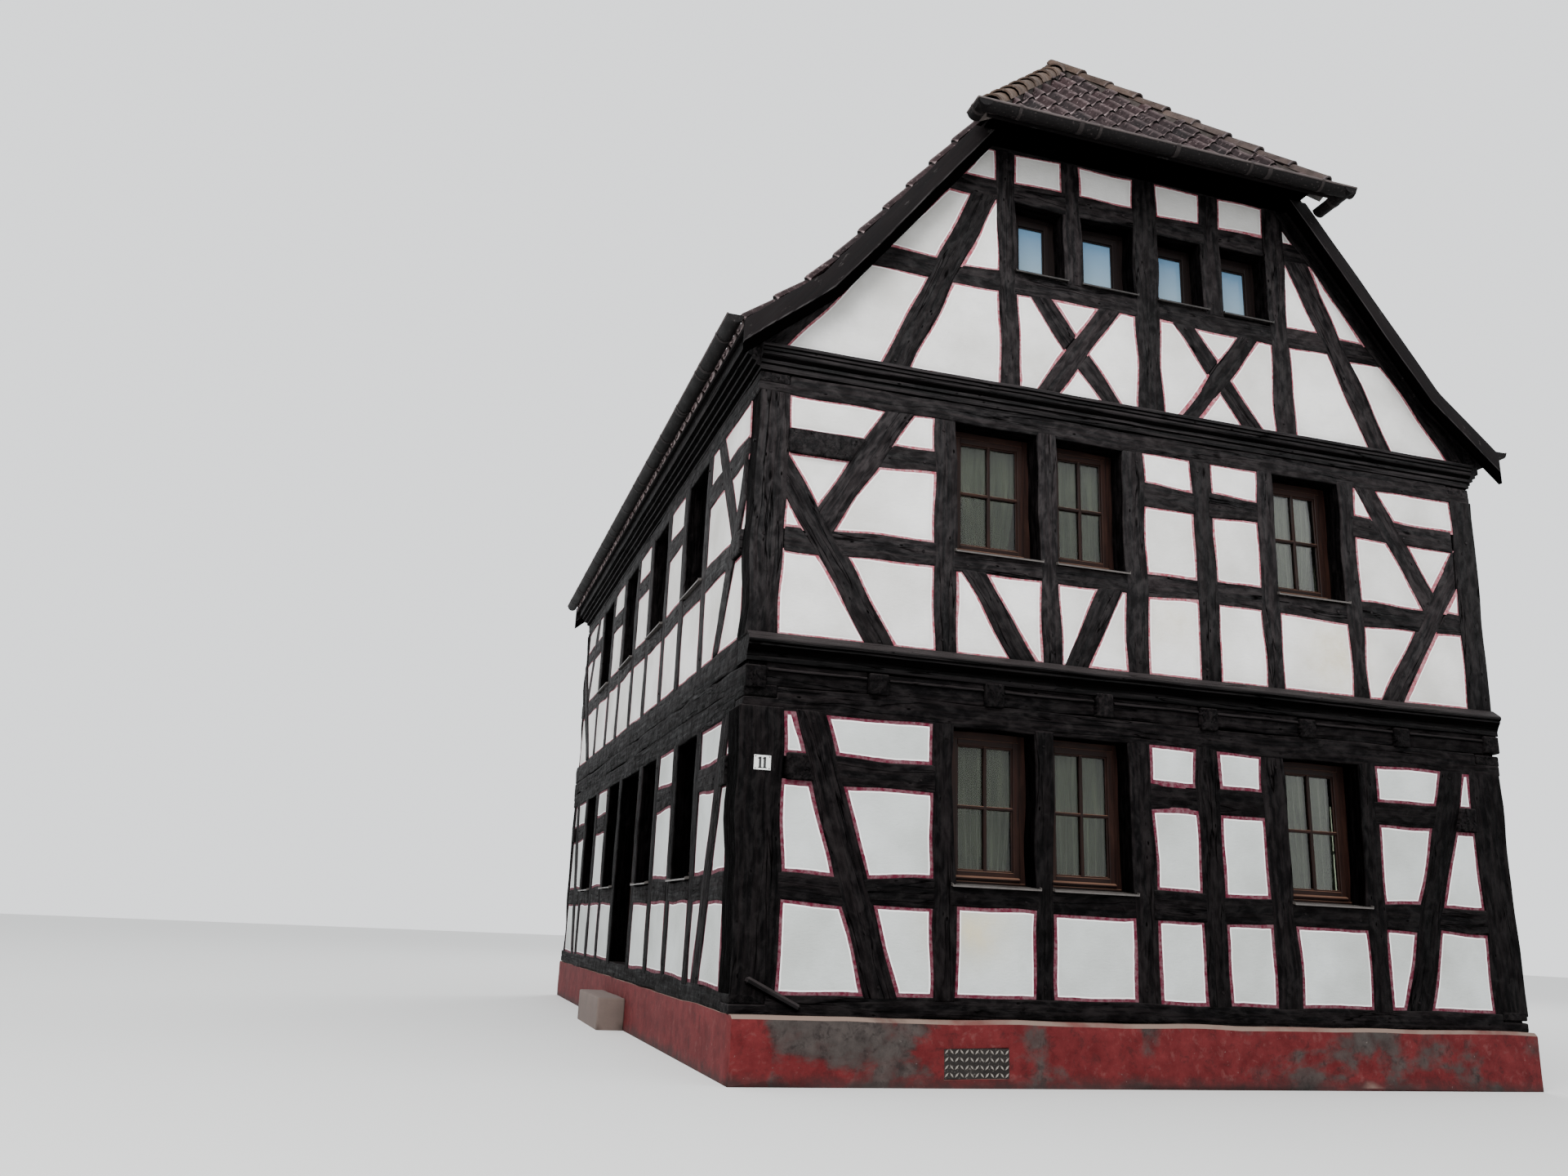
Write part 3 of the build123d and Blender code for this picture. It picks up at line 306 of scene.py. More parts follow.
# Fired clay with soot, lichen and a tone of its own on each tile, with painted highlights on the rolls and
# lower ends and painted shade in the pans and hollows
def makeTile(name, low, high, sootAndShade, bloomAndHighlight, ends=0.0, shaded=None):
    m = Finish(name)
    place = m.point()
    patch = m.cloud(place, 11, 6, 0.65)
    crest = m.number("crest")
    m.colour = m.mix(m.ramp(m.number("tone"), -2.2, 2.2), low, high)
    # painted highlight on the rolls and painted shade in the pans
    m.coat(m.ramp(crest, 0.75, 1.0, 0, 0.25), bloomAndHighlight)
    m.coat(m.ramp(crest, 0.0, 0.35, 0.35, 0), sootAndShade)
    # a painted highlight along each tile's lower end
    lowerEnd = m.ramp(m.number("lowerEnd"), 0.35, 0.8, 0, 0.9)
    m.coat(m.times(lowerEnd, m.ramp(crest, 0.25, 0.65, 1, 0.15)), bloomAndHighlight)
    m.coat(m.ramp(patch, 0.42, 0.72, 0, 0.7), sootAndShade)
    m.coat(m.ramp(m.cloud(place, 26, 5, 0.7), 0.58, 0.72, 0, 0.6), bloomAndHighlight)
    m.coat(m.ramp(m.cloud(place, 1.1, 4, 0.5), 0.45, 0.7, 0, 0.5), sootAndShade)
    # painted shadow, with some soot, lies in the hollow under the lower end of the next course, and painted
    # shade on the end faces under the rolls
    hollow = m.ramp(m.number("hollow"), 0.15, 0.85, 0, 0.92)
    m.coat(m.sums("MAXIMUM", hollow, m.ramp(crest, 0.38, 0.60, 0, ends)), dimmed(sootAndShade, 0.25))
    if shaded:
        # the caps away from the yard get a bluish painted shade
        m.coat(m.ramp(m.axes(place)[0], -0.3, 0.9), m.mix(1.0, m.colour, shaded, "MULTIPLY"))
    m.bump(patch, 0.004, 0.6)
    m.bump(m.cloud(place, 160, 4, 0.6), 0.001, 0.6)
    return m.seal(m.ramp(patch, 0.3, 0.7, 0.6, 0.9), 0.12)


boardLook = {
    "dark": (0.0015, 0.0011, 0.0013), "light": (0.0062, 0.0045, 0.0047), "faded": (0.010, 0.0075, 0.0078),
    "flake": (0.07, 0.064, 0.062), "rubbed": (0.050, 0.046, 0.046), "paintedShadow": (0.0005, 0.0004, 0.0004),
    "shine": 0.10, "shadowLineDepth": 0.185,
}


# Dark brown painted boards; a bargeboard also has slopes, each as its height at the ridge and its pitch
def makeBoard(name, look, slopes=()):
    m = Finish(name)
    grain = m.fibre((1.8, 40, 40), 6, 0.62, 0.2)
    broad = m.fibre((1.2, 5, 5), 4, 0.5)
    m.colour = m.mix(m.ramp(grain, 0.35, 0.68), look["dark"], look["light"])
    m.coat(m.ramp(broad, 0.5, 0.72, 0, 0.5), look["faded"])
    m.coat(m.ramp(m.fibre((7, 26, 26), 5, 0.7), 0.63, 0.68, 0, 0.35), look["flake"])
    shine = look["shine"]
    if slopes:
        # a painted highlight along a lower edge, and under it a black strip of painted shadow where a soffit
        # would lie in shade
        x, y, z = m.axes(m.point())
        depths = []
        for top, pitch in slopes:
            plane = m.sums("SUBTRACT", top, m.times(m.sums("ABSOLUTE", x), math.tan(pitch)))
            depths.append(m.times(m.sums("SUBTRACT", plane, z), math.cos(pitch)))
        depth = m.plus(m.sums("MAXIMUM", *depths), m.ramp(broad, 0.3, 0.7, -0.006, 0.006))
        rubbed = m.ramp(depth, look["shadowLineDepth"] - 0.013, look["shadowLineDepth"] - 0.005)
        m.coat(m.times(rubbed, m.ramp(grain, 0.42, 0.58, 0, 0.7)), look["rubbed"])
        shadowStrip = m.ramp(depth, look["shadowLineDepth"] - 0.002, look["shadowLineDepth"] + 0.003)
        m.coat(shadowStrip, look["paintedShadow"])
        shine = m.ramp(shadowStrip, 0, 1, look["shine"], 0.0)
    m.bump(grain, 0.004, 0.8)
    return m.seal(m.ramp(grain, 0.3, 0.7, 0.65, 0.9), shine)


plinthLook = {
    "paint": (0.060, 0.0032, 0.0042), "freshPaint": (0.105, 0.012, 0.013),
    "sootedPaint": (0.024, 0.0040, 0.0042), "palePaint": (0.13, 0.045, 0.042),
    "bare": (0.020, 0.0155, 0.0140), "paleBare": (0.054, 0.044, 0.040),
    "sootedBare": (0.012, 0.0085, 0.0080), "redStain": (0.05, 0.0055, 0.0055),
    "damp": (0.016, 0.0135, 0.0125), "dust": (0.15, 0.105, 0.085), "fleck": (0.20, 0.17, 0.16),
    "cut": 0.16, "uneven": 0.012, "fine": 0.003, "bevel": 0.016,
}


# Red masonry paint, rubbed and fallen away to grey render in broad patches
def makePlinthPaint(look):
    m = Finish("wornRedRender")
    place = m.point()
    x, y, z = m.axes(place)
    broad = m.cloud(m.point((1, 1, 1.6)), 1.1, 6, 0.58, 0.3)
    patch = m.cloud(place, 7, 6, 0.65)
    mottle = m.cloud(place, 13, 6, 0.7, 0.4)
    # most of the paint is gone between the left corner and the hatch
    rubbed = m.sums("MINIMUM", m.ramp(x, -3.05, -2.75), m.ramp(x, -1.75, -2.05))
    rubbed = m.times(rubbed, m.ramp(z, 0.05, 0.20, 0.2, 1))
    gone = m.plus(broad, m.ramp(patch, 0.2, 0.8, -0.05, 0.05))
    gone = m.plus(gone, m.ramp(rubbed, 0, 1, -0.04, 0.10))
    gone = m.plus(gone, m.ramp(x, -3.10, -2.96, -0.25, 0))
    bare = m.mix(m.ramp(patch, 0.3, 0.7), look["bare"], look["paleBare"])
    bare = m.mix(m.ramp(gone, 0.53, 0.62), m.mix(0.3, bare, look["redStain"]), bare)
    bare = m.mix(m.ramp(mottle, 0.50, 0.66, 0, 0.85), bare, look["sootedBare"])
    gone = m.ramp(gone, 0.48, 0.55)
    m.colour = m.mix(m.ramp(patch, 0.35, 0.7), look["paint"], look["freshPaint"])
    m.coat(m.ramp(mottle, 0.54, 0.68, 0, 0.65), look["sootedPaint"])
    m.coat(m.ramp(mottle, 0.44, 0.30, 0, 0.5), look["palePaint"])
    m.coat(gone, bare)
    foot = m.plus(z, m.ramp(patch, 0.2, 0.8, -0.05, 0.05))
    m.coat(m.ramp(foot, 0.0, 0.09, 0.75, 0), look["damp"])
    # the sloping ledge is bleached and dusty
    m.coat(m.times(m.ramp(m.facingUp(), 0.25, 0.5), m.ramp(broad, 0.40, 0.52, 0.35, 1)), look["dust"])
    m.coat(m.ramp(m.cloud(place, 46, 3, 0.5), 0.73, 0.76, 0, 0.4), look["fleck"])
    m.bump(gone, 0.004, 0.6)
    m.bump(patch, 0.008, 0.5)
    m.bump(m.cloud(place, 70, 5, 0.65), 0.0015, 0.6)
    return m.seal(0.86, 0.2)


# Sheet metal or iron, dull and dirty, lighter where its lip attribute says: worn on the hatch and the handle,
# a painted highlight on the gutters' beads
def makeMetal(name, colour, rubbed, metallic, roughness):
    m = Finish(name)
    place = m.point()
    dirt, specks = m.cloud(place, 5, 6, 0.65), m.cloud(place, 60, 4, 0.6)
    m.colour = m.mix(m.ramp(dirt, 0.35, 0.7), colour, dimmed(colour, 0.5))
    m.coat(m.ramp(specks, 0.6, 0.72, 0, 0.4), rubbed)
    m.coat(m.times(m.number("lip"), m.ramp(dirt, 0.3, 0.6, 0.5, 1.0)), rubbed)
    m.bump(specks, 0.0006, 0.4)
    return m.seal(m.ramp(dirt, 0.3, 0.7, roughness, roughness + 0.2), 0.14, Metallic=metallic)


# Stone, paint or enamel in one colour with speckles and stains
def makeStone(name, colour, roughness, grain):
    m = Finish(name)
    place = m.point()
    stain, specks = m.cloud(place, 4, 6, 0.65), m.cloud(place, grain, 4, 0.65)
    m.colour = m.mix(m.ramp(stain, 0.4, 0.75, 0, 0.6), colour, dimmed(colour, 0.6))
    m.coat(m.ramp(specks, 0.55, 0.7, 0, 0.35), dimmed(colour, 0.45))
    m.bump(stain, 0.004, 0.4)
    m.bump(specks, 0.0012, 0.5)
    return m.seal(roughness)


# Floor boards laid side by side along Y
def makeFloorBoards():
    m = Finish("floorBoards")
    turned = m.add("Mapping", {"Vector": m.point(), "Rotation": (0, 0, math.pi / 2)})[0]
    boards = m.add("TexBrick", {
        "Vector": turned, "Scale": 1.0, "Brick Width": 3.1, "Row Height": 0.16, "Mortar Size": 0.003,
        "Color1": (0.16, 0.09, 0.05), "Color2": (0.10, 0.055, 0.032), "Mortar": (0.01, 0.007, 0.005)})
    grain = m.cloud(m.point((40, 2, 40)), 1.0, 6, 0.6, 0.3)
    m.colour = m.mix(m.ramp(grain, 0.35, 0.7, 0, 0.6), boards["Color"], (0.07, 0.038, 0.022))
    m.bump(m.times(boards["Fac"], -1), 0.003, 0.8)
    m.bump(grain, 0.001, 0.5)
    return m.seal(0.6)


mouldingLook = {
    **timberLook, "dark": (0.0008, 0.0007, 0.0008), "light": (0.015, 0.0125, 0.0130), "lumps": 0.15,
    "dustAndTopHighlight": 0.55, "sootAndUndersideShade": 0.95,
}
materials = {
    "gutter": makeMetal("brownGutterMetal", (0.0022, 0.0013, 0.0014), (0.085, 0.070, 0.068), 0.0, 0.6),
    "chequer": makeMetal("chequerPlate", (0.020, 0.0170, 0.0155), (0.24, 0.215, 0.19), 0.15, 0.5),
    "iron": makeMetal("blackIron", (0.012, 0.011, 0.011), (0.05, 0.045, 0.042), 0.6, 0.45),
    "enamel": makeStone("whiteEnamel", (0.62, 0.62, 0.60), 0.35, 30),
    "ink": makeStone("blackPaint", (0.006, 0.006, 0.006), 0.5, 60),
    "stone": makeStone("sandstone", (0.105, 0.074, 0.062), 0.9, 120),
    "floor": makeFloorBoards(),
    "tile": makeTile("weatheredTile", (0.0050, 0.0026, 0.0030), (0.024, 0.0112, 0.0120),
                     (0.0035, 0.0024, 0.0028), (0.30, 0.225, 0.225)),
    # the tiles' lower end faces are a lighter copy of the tile, a painted highlight, with painted shade under
    # the rolls
    "tileEnd": makeTile("tileLowerEndPaintedLight", (0.045, 0.028, 0.028), (0.30, 0.22, 0.22),
                        (0.010, 0.007, 0.007), (0.42, 0.34, 0.34), ends=1.0),
    "capTile": makeTile("cappingTile", (0.034, 0.020, 0.014), (0.095, 0.062, 0.044),
                        (0.014, 0.010, 0.008), (0.17, 0.128, 0.108), shaded=(0.72, 0.80, 1.0)),
    "mortar": makeTile("ridgeMortar", (0.05, 0.04, 0.036), (0.05, 0.04, 0.036),
                       (0.02, 0.017, 0.016), (0.12, 0.10, 0.09)),
    "board": makeBoard("darkPaintedBoard", boardLook),
    "plinth": makePlinthPaint(plinthLook),
    "timber": makeTimber("blackenedOak", timberLook),
    "moulding": makeTimber("mouldedOak", mouldingLook),
    "plaster": makePlaster("limePlasterUpper", plasterLook, plasterLook["line"], plasterLook["lineWidth"],
                           plasterLook["lineStrength"]),
    # the ground storey's plaster gets a bluish painted shade
    "plasterGround": makePlaster("limePlasterGround", plasterLook, plasterLook["groundLine"],
                                 plasterLook["groundLineWidth"], plasterLook["groundLineStrength"],
                                 plasterLook["groundShade"]),
    "windowWood": makeWindowWood(windowLook),
    "glass": makeGlass("windowPane", windowLook["glass"], 1.0, 0.02),
    # the attic panes are coloured with a painted reflection of the sky
    "paintedSkyPane": makeGlass("atticPane", windowLook["sky"], 0.25, 0.08),
    "net": makeNet(windowLook),
    "sillMetal": makeSillMetal(windowLook),
}
print("materials mixed")


def appendPart(target, part, place=None):
    if place is not None:
        bmesh.ops.transform(part, matrix=place, verts=part.verts)
    mesh = bpy.data.meshes.new("part")
    part.to_mesh(mesh)
    part.free()
    target.from_mesh(mesh)
    bpy.data.meshes.remove(mesh)


# Adds a copy of a finished mesh and gives back its vertices
def appendCopy(target, mesh):
    before = len(target.verts)
    target.from_mesh(mesh)
    target.verts.ensure_lookup_table()
    return target.verts[before:]


def keepMesh(name, shape):
    mesh = bpy.data.meshes.new(name)
    shape.to_mesh(mesh)
    shape.free()
    return mesh


# The separate solids of a CAD node, each with plain faces instead of triangles
def solidsOf(nodeName):
    whole = bmesh.new()
    whole.from_mesh(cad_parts[nodeName].data)
    bmesh.ops.remove_doubles(whole, verts=whole.verts, dist=1e-5)
    bmesh.ops.dissolve_limit(whole, angle_limit=math.radians(1), verts=whole.verts, edges=whole.edges)
    whole.faces.ensure_lookup_table()
    island = [-1] * len(whole.faces)
    count = 0
    for start in whole.faces:
        if island[start.index] >= 0:
            continue
        stack = [start]
        island[start.index] = count
        while stack:
            for face in [face for edge in stack.pop().edges for face in edge.link_faces]:
                if island[face.index] < 0:
                    island[face.index] = count
                    stack.append(face)
        count += 1
    solids = []
    for number in range(count):
        part = whole.copy()
        part.faces.ensure_lookup_table()
        others = [face for face in part.faces if island[face.index] != number]
        bmesh.ops.delete(part, geom=others, context="FACES")
        solids.append(part)
    whole.free()
    return solids


# All solids of a CAD node in one bmesh, each shaped by a function
def shapeSolids(nodeName, shaped):
    shape = bmesh.new()
    for solid in solidsOf(nodeName):
        appendPart(shape, shaped(solid))
    return shape


# Turns a bmesh into a piece that rides on the house and stands for CAD nodes
def makePiece(name, shape, looks, stands=(), sharp=32):
    mesh = keepMesh(name, shape)
    for look in looks:
        mesh.materials.append(materials[look])
    mesh.shade_smooth()
    mesh.set_sharp_from_angle(angle=math.radians(sharp))
    piece = bpy.data.objects.new(name, mesh)
    bpy.context.scene.collection.objects.link(piece)
    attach(piece, "root")
    if stands:
        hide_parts(*stands)
    return piece


# Gives a CAD node that stays in sight a better material
def refinish(nodeName, look):
    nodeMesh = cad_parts[nodeName].data
    nodeMesh.materials.clear()
    nodeMesh.materials.append(materials[look])


def middleOf(solid):
    low = Vector([min(vert.co[axis] for vert in solid.verts) for axis in range(3)])
    high = Vector([max(vert.co[axis] for vert in solid.verts) for axis in range(3)])
    return (low + high) / 2, low, high


# The way out of the wall that a solid stands in, or that a timber lies along
def outwardOf(middle, axis=None):
    acrossWall = Vector((math.copysign(1, middle.x), 0, 0))
    alongWall = Vector((0, math.copysign(1, middle.y), 0))
    if axis is not None and abs(axis.y) > 0.1:
        return acrossWall
    if axis is not None and abs(axis.x) > 0.1:
        return alongWall
    return alongWall if abs(middle.y) > house["halfDepth"] - house["timber"] else acrossWall


def bevelEdges(shape, width, segments=1, edges=None):
    edges = list(shape.edges) if edges is None else edges
    bmesh.ops.bevel(shape, geom=edges, offset=width, segments=segments, profile=0.5, affect="EDGES",
                    clamp_overlap=True, material=-1)


def cutThrough(shape, spot, way, clear=False):
    geom = list(shape.verts) + list(shape.edges) + list(shape.faces)
    bmesh.ops.bisect_plane(shape, geom=geom, dist=1e-5, plane_co=spot, plane_no=way, clear_outer=clear)


def cutSlices(shape, way, first, last, steps):
    for step in range(1, steps):
        cutThrough(shape, way * (first + (last - first) * step / steps), way)


# Grows a face into a plate
def thicken(shape, face, along):
    grown = bmesh.ops.extrude_face_region(shape, geom=[face], use_keep_orig=True)["geom"]
    fresh = [item for item in grown if isinstance(item, bmesh.types.BMVert)]
    bmesh.ops.translate(shape, verts=fresh, vec=along)
    bmesh.ops.recalc_face_normals(shape, faces=shape.faces)


# Turns an open sheet's faces the right way, then gives it a wall
def solidifySheet(sheet, wayOut, thickness):
    if wayOut < 0:
        bmesh.ops.reverse_faces(sheet, faces=sheet.faces)
    bmesh.ops.solidify(sheet, geom=list(sheet.faces), thickness=thickness)
    bmesh.ops.recalc_face_normals(sheet, faces=sheet.faces)


def setLayer(shape, name, value):
    layer = shape.verts.layers.float.new(name)
    for vert in shape.verts:
        vert[layer] = value


def setMaterial(shape, number):
    for face in shape.faces:
        face.material_index = number


def makeBlock(low, high):
    block = bmesh.new()
    bmesh.ops.create_cube(block, size=1)
    bmesh.ops.scale(block, verts=block.verts, vec=[top - foot for foot, top in zip(low, high)])
    bmesh.ops.translate(block, verts=block.verts, vec=[(top + foot) / 2 for foot, top in zip(low, high)])
    return block


# Lowers the upper front edge of a block, so that its top slopes outwards
def slopeTop(block, low, high, slope):
    for vert in block.verts:
        if vert.co.y > (low[1] + high[1]) / 2 and vert.co.z > (low[2] + high[2]) / 2:
            vert.co.z -= slope


# Turns a shape that is drawn along X, Y and Z to three other ways
def turnTo(along, deep, high):
    return Matrix((along, deep, high)).transposed().to_4x4()


# Places a shape drawn as (along the wall, outwards, up) on a wall, from a point on the wall
def wallMatrix(outward, spot):
    return Matrix.Translation(spot) @ turnTo(skyward.cross(outward), outward, skyward)


# A straight bar with rounded edges, from its lowest to its highest corner, with grain along its longest side
def addBar(target, low, high, chance, edge=0.003, slope=0.0):
    bar = makeBlock(low, high)
    slopeTop(bar, low, high, slope)
    bevelEdges(bar, edge)
    size = [top - foot for foot, top in zip(low, high)]
    longest = size.index(max(size))
    grain = bar.verts.layers.float_vector.new("grain")
    shift = chance.uniform(0, 20)
    for vert in bar.verts:
        spot = list(vert.co)
        along = spot.pop(longest)
        vert[grain] = Vector((along + shift, *spot))
    appendPart(target, bar)


# A round bar from one point to another
def addRod(target, start, end, radius, sides, lip=0.0):
    rod = bmesh.new()
    run = end - start
    bmesh.ops.create_cone(rod, cap_ends=True, segments=sides, radius1=radius, radius2=radius,
                          depth=run.length)
    setLayer(rod, "lip", lip)
    turn = skyward.rotation_difference(run).to_matrix().to_4x4()
    appendPart(target, rod, Matrix.Translation((start + end) / 2) @ turn)


hewing = {
    "bevel": 0.012, "bevelSteps": 2, "cut": 0.12, "cutSway": 0.25, "into": 0.030, "bow": 0.034,
    "edge": 0.026, "face": 0.008, "fine": 0.0009, "proud": 0.003, "grainShift": 20.0, "pegRadius": 0.0125,
    "pegTaper": 0.86, "pegLength": 0.04, "pegProud": 0.004, "pegFromEnd": 0.085, "pegSides": 9,
    "pegTone": 0.8, "noPegUnder": 0.22,
}

# Every timber's line, so that the plaster can follow its crooked edges: kept by the way out of its wall
timberLines = {}


def wallKey(outward):
    return tuple(round(part) for part in outward)


# How far a timber's edge wanders sideways at a point along it
def wander(line, along, side):
    bow = line["bow"] * noise.noise(Vector((along * 0.55, line["seed"], 0)))
    return bow + line["edge"] * noise.noise(Vector((along * 2.3, line["seed"], 7 + math.copysign(3, side))))


def addPeg(target, spot, outward, shift, look):
    peg = bmesh.new()
    bmesh.ops.create_cone(peg, cap_ends=True, segments=look["pegSides"], radius1=look["pegRadius"],
                          radius2=look["pegRadius"] * look["pegTaper"], depth=look["pegLength"])
    turn = skyward.rotation_difference(outward).to_matrix().to_4x4()
    bmesh.ops.transform(peg, matrix=Matrix.Translation(spot) @ turn, verts=peg.verts)
    grain = peg.verts.layers.float_vector.new("grain")
    section = peg.verts.layers.float_vector.new("section")
    for vert in peg.verts:
        vert[grain] = Vector((shift, *(vert.co - spot).yz))
        vert[section] = Vector((0, 0, look["pegTone"]))
    appendPart(target, peg)


# Cuts a solid into short lengths, rounds its edges and gives it the uneven line of hewn wood
def hewTimber(solid, chance, lengthen, pegs, look):
    longest = max(solid.edges, key=lambda edge: round(edge.calc_length(), 4))
    axis = (longest.verts[1].co - longest.verts[0].co).normalized()
    if axis.z < -0.01 or (abs(axis.z) < 0.01 and axis.x + axis.y < 0):
        axis = -axis
    middle = middleOf(solid)[0]
    outward = outwardOf(middle, axis)
    sideways = axis.cross(outward)
    half = [max(abs((vert.co - middle).dot(way)) for vert in solid.verts)
            for way in (axis, outward, sideways)]
    across = [(vert.co - middle).dot(sideways) for vert in solid.verts]
    shift, tone, seed = chance.uniform(0, look["grainShift"]), chance.uniform(-1, 1), chance.uniform(0, 500)
    proud = chance.uniform(-look["proud"], look["proud"])
    line = {"middle": middle, "axis": axis, "sideways": sideways, "half": half[0], "low": min(across),
            "high": max(across), "seed": seed, "bow": look["bow"], "edge": look["edge"]}
    timberLines.setdefault(wallKey(outward), []).append(line)
    if lengthen:
        for vert in solid.verts:
            along = (vert.co - middle).dot(axis)
            if abs(along) > half[0] * 0.6:
                vert.co += axis * math.copysign(look["into"], along)
    bevelEdges(solid, look["bevel"], look["bevelSteps"])
    steps = int(2 * half[0] / look["cut"])
    for step in range(1, steps):
        sway = chance.uniform(-look["cutSway"], look["cutSway"])
        cutThrough(solid, middle + axis * (-half[0] + 2 * half[0] * (step + sway) / steps), axis)
    grain = solid.verts.layers.float_vector.new("grain")
    section = solid.verts.layers.float_vector.new("section")
    width = max(abs((vert.co - middle).dot(sideways)) for vert in solid.verts)
    for vert in solid.verts:
        along, out, side = [(vert.co - middle).dot(way) for way in (axis, outward, sideways)]
        vert[grain] = Vector((along + shift, out + shift, side))
        vert[section] = Vector((out / half[1], side / width, tone))
        face = look["face"] * noise.noise(Vector((along * 1.6, seed, 17 + math.copysign(3, out))))
        fine = noise.noise_vector(vert.co * 11) * look["fine"]
        vert.co += sideways * wander(line, along, side) + outward * (face + proud) + fine
    if pegs and half[0] > look["noPegUnder"]:
        for end in (-1, 1):
            deep = half[1] + look["pegProud"] - look["pegLength"] / 2
            spot = middle + axis * end * (half[0] - look["pegFromEnd"]) + outward * deep
            spot += sideways * chance.uniform(-0.35, 0.35) * min(half[2], 0.12)
            addPeg(solid, spot, outward, shift + end, look)
    return solid


def hewNode(nodeName, lengthen=True, pegs=True, look=hewing, finish="timber"):
    chance = random.Random(nodeName)
    shape = shapeSolids(nodeName, lambda solid: hewTimber(solid, chance, lengthen, pegs, look))
    return makePiece(nodeName + ".hewn", shape, [finish], [nodeName])


levelHewing = {**hewing, "bow": 0.012, "edge": 0.014}
for storey in ("ground", "upper"):
    hewNode(storey + "_corner_posts", pegs=False)
    for part in ("posts", "rails", "braces"):
        hewNode(f"{storey}_{part}")
for nodeName in ("upper_short_braces", "upper_struts", "verge_rafters", "gable_top_plates", "gable_braces",
                 "cross_braces_falling", "cross_braces_rising", "gable_rails", "gable_posts"):
    hewNode(nodeName)
hewNode("floor_joists", lengthen=False, pegs=False)
for nodeName in ("ground_sill_gable_beams", "ground_sill_side_beams", "ground_plate_gable_beams",
                 "ground_plate_side_beams", "upper_plate_gable_beams", "upper_plate_side_beams",
                 "upper_sill_side_beams", "joist_fillers"):
    hewNode(nodeName, lengthen=False, pegs=False, look=levelHewing)
print("timbers hewn")

plastering = {
    "into": 0.020, "skin": 0.005, "grid": 0.085, "crown": 0.006, "crownWidth": 0.055, "follow": 0.30,
    "uneven": 0.0022, "toneSpread": 0.035, "sharpest": 0.25, "touching": 0.003, "mostSides": 6,
    # Damp marks on the street front: x, z, half width, half height and strength
    "stains": [(1.72, 3.30, 0.30, 0.28, 0.75), (-1.55, 1.02, 0.26, 0.20, 0.8), (0.15, 3.4, 0.3, 0.2, 0.35)],
}


# The sides of a panel, each with the lines of the timbers that it lies against
def panelSides(corners, outward, look=plastering):
    sides = []
    for first, second in zip(corners, corners[1:] + corners[:1]):
        inward = outward.cross(second - first).normalized()
        beside = []
        for line in timberLines.get(wallKey(outward), ()):
            for share in (0.1, 0.5, 0.9):
                point = first.lerp(second, share) - line["middle"]
                side = point.dot(line["sideways"])
                near = min(abs(side - line["low"]), abs(side - line["high"])) < look["touching"]
                if near and abs(point.dot(line["axis"])) < line["half"] + 2 * look["touching"]:
                    beside.append(line)
                    break
        sides.append((first, inward, beside))
    return sides


# How far a point of a panel moves with the crooked edges of the timbers round it
def followTimbers(point, sides, look=plastering):
    moved = Vector((0, 0, 0))
    for first, inward, beside in sides:
        away = (point - first).dot(inward)
        weight = 1 - max(0.0, away) / look["follow"]
        if weight <= 0:
            continue
        foot = point - inward * away
        for line in beside:
            along = (foot - line["middle"]).dot(line["axis"])
            side = (foot - line["middle"]).dot(line["sideways"])
            if abs(along) < line["half"] + look["into"]:
                moved += line["sideways"] * wander(line, along, side) * weight
                break
    return moved


# A coat of plaster on the front of one infill panel, crowned and pressed under the timbers' edges
def plasterPanel(solid, chance, look=plastering):
    middle, low, high = middleOf(solid)
    outward = outwardOf(middle)
    front = max(solid.faces, key=lambda face: (
        round(face.normal.dot(outward), 2), round(face.calc_area(), 4)))
    corners = [vert.co.copy() for vert in front.verts]
    solid.free()
    sides = panelSides(corners, outward)
    coat = bmesh.new()
    outline = []
    for number, corner in enumerate(corners):
        before, after = sides[number - 1][1], sides[number][1]
        reach = look["into"] / max(look["sharpest"], 1 + before.dot(after))
        outline.append(coat.verts.new(corner + (-before - after) * reach))
    thicken(coat, coat.faces.new(outline), outward * look["skin"])
    for way in (Vector((1, 0, 0)), Vector((0, 1, 0)), skyward):
        if abs(way.dot(outward)) < 0.5:
            first, last = low.dot(way), high.dot(way)
            cutSlices(coat, way, first, last, max(1, int((last - first) / look["grid"])))
    level = corners[0].dot(outward)
    rimNear = coat.verts.layers.float_vector.new("rimNear")
    rimFar = coat.verts.layers.float_vector.new("rimFar")
    toneLayer = coat.verts.layers.float.new("tone")
    stain = coat.verts.layers.float.new("stain")
    tone = 1 + chance.uniform(-look["toneSpread"], look["toneSpread"])
    for vert in coat.verts:
        away = [(vert.co - first).dot(inward) for first, inward, beside in sides]
        padded = (away + [1.0] * look["mostSides"])[:look["mostSides"]]
        vert[rimNear], vert[rimFar] = Vector(padded[:3]), Vector(padded[3:])
        vert[toneLayer] = tone
        raised = vert.co.dot(outward) > level + look["skin"] * 0.5
        for x, z, wide, tall, strength in look["stains"]:
            if outward.y < -0.5:
                reach = ((vert.co.x - x) / wide) ** 2 + ((vert.co.z - z) / tall) ** 2
                vert[stain] = max(vert[stain], strength * math.exp(-reach))
        moved = followTimbers(vert.co, sides)
        if raised:
            moved += outward * look["crown"] * (1 - math.exp(-max(0.0, min(away)) / look["crownWidth"]))
            moved += outward * look["uneven"] * noise.noise(vert.co * 3.1)
        vert.co += moved
    return coat


infillLooks = {"ground_infill": "plasterGround", "upper_infill": "plaster", "gable_infill": "plaster"}
for nodeName, look in infillLooks.items():
    chance = random.Random(nodeName)
    shape = shapeSolids(nodeName, lambda solid: plasterPanel(solid, chance))
    refinish(nodeName, look)
    makePiece(nodeName + ".coat", shape, [look])
print("panels plastered")

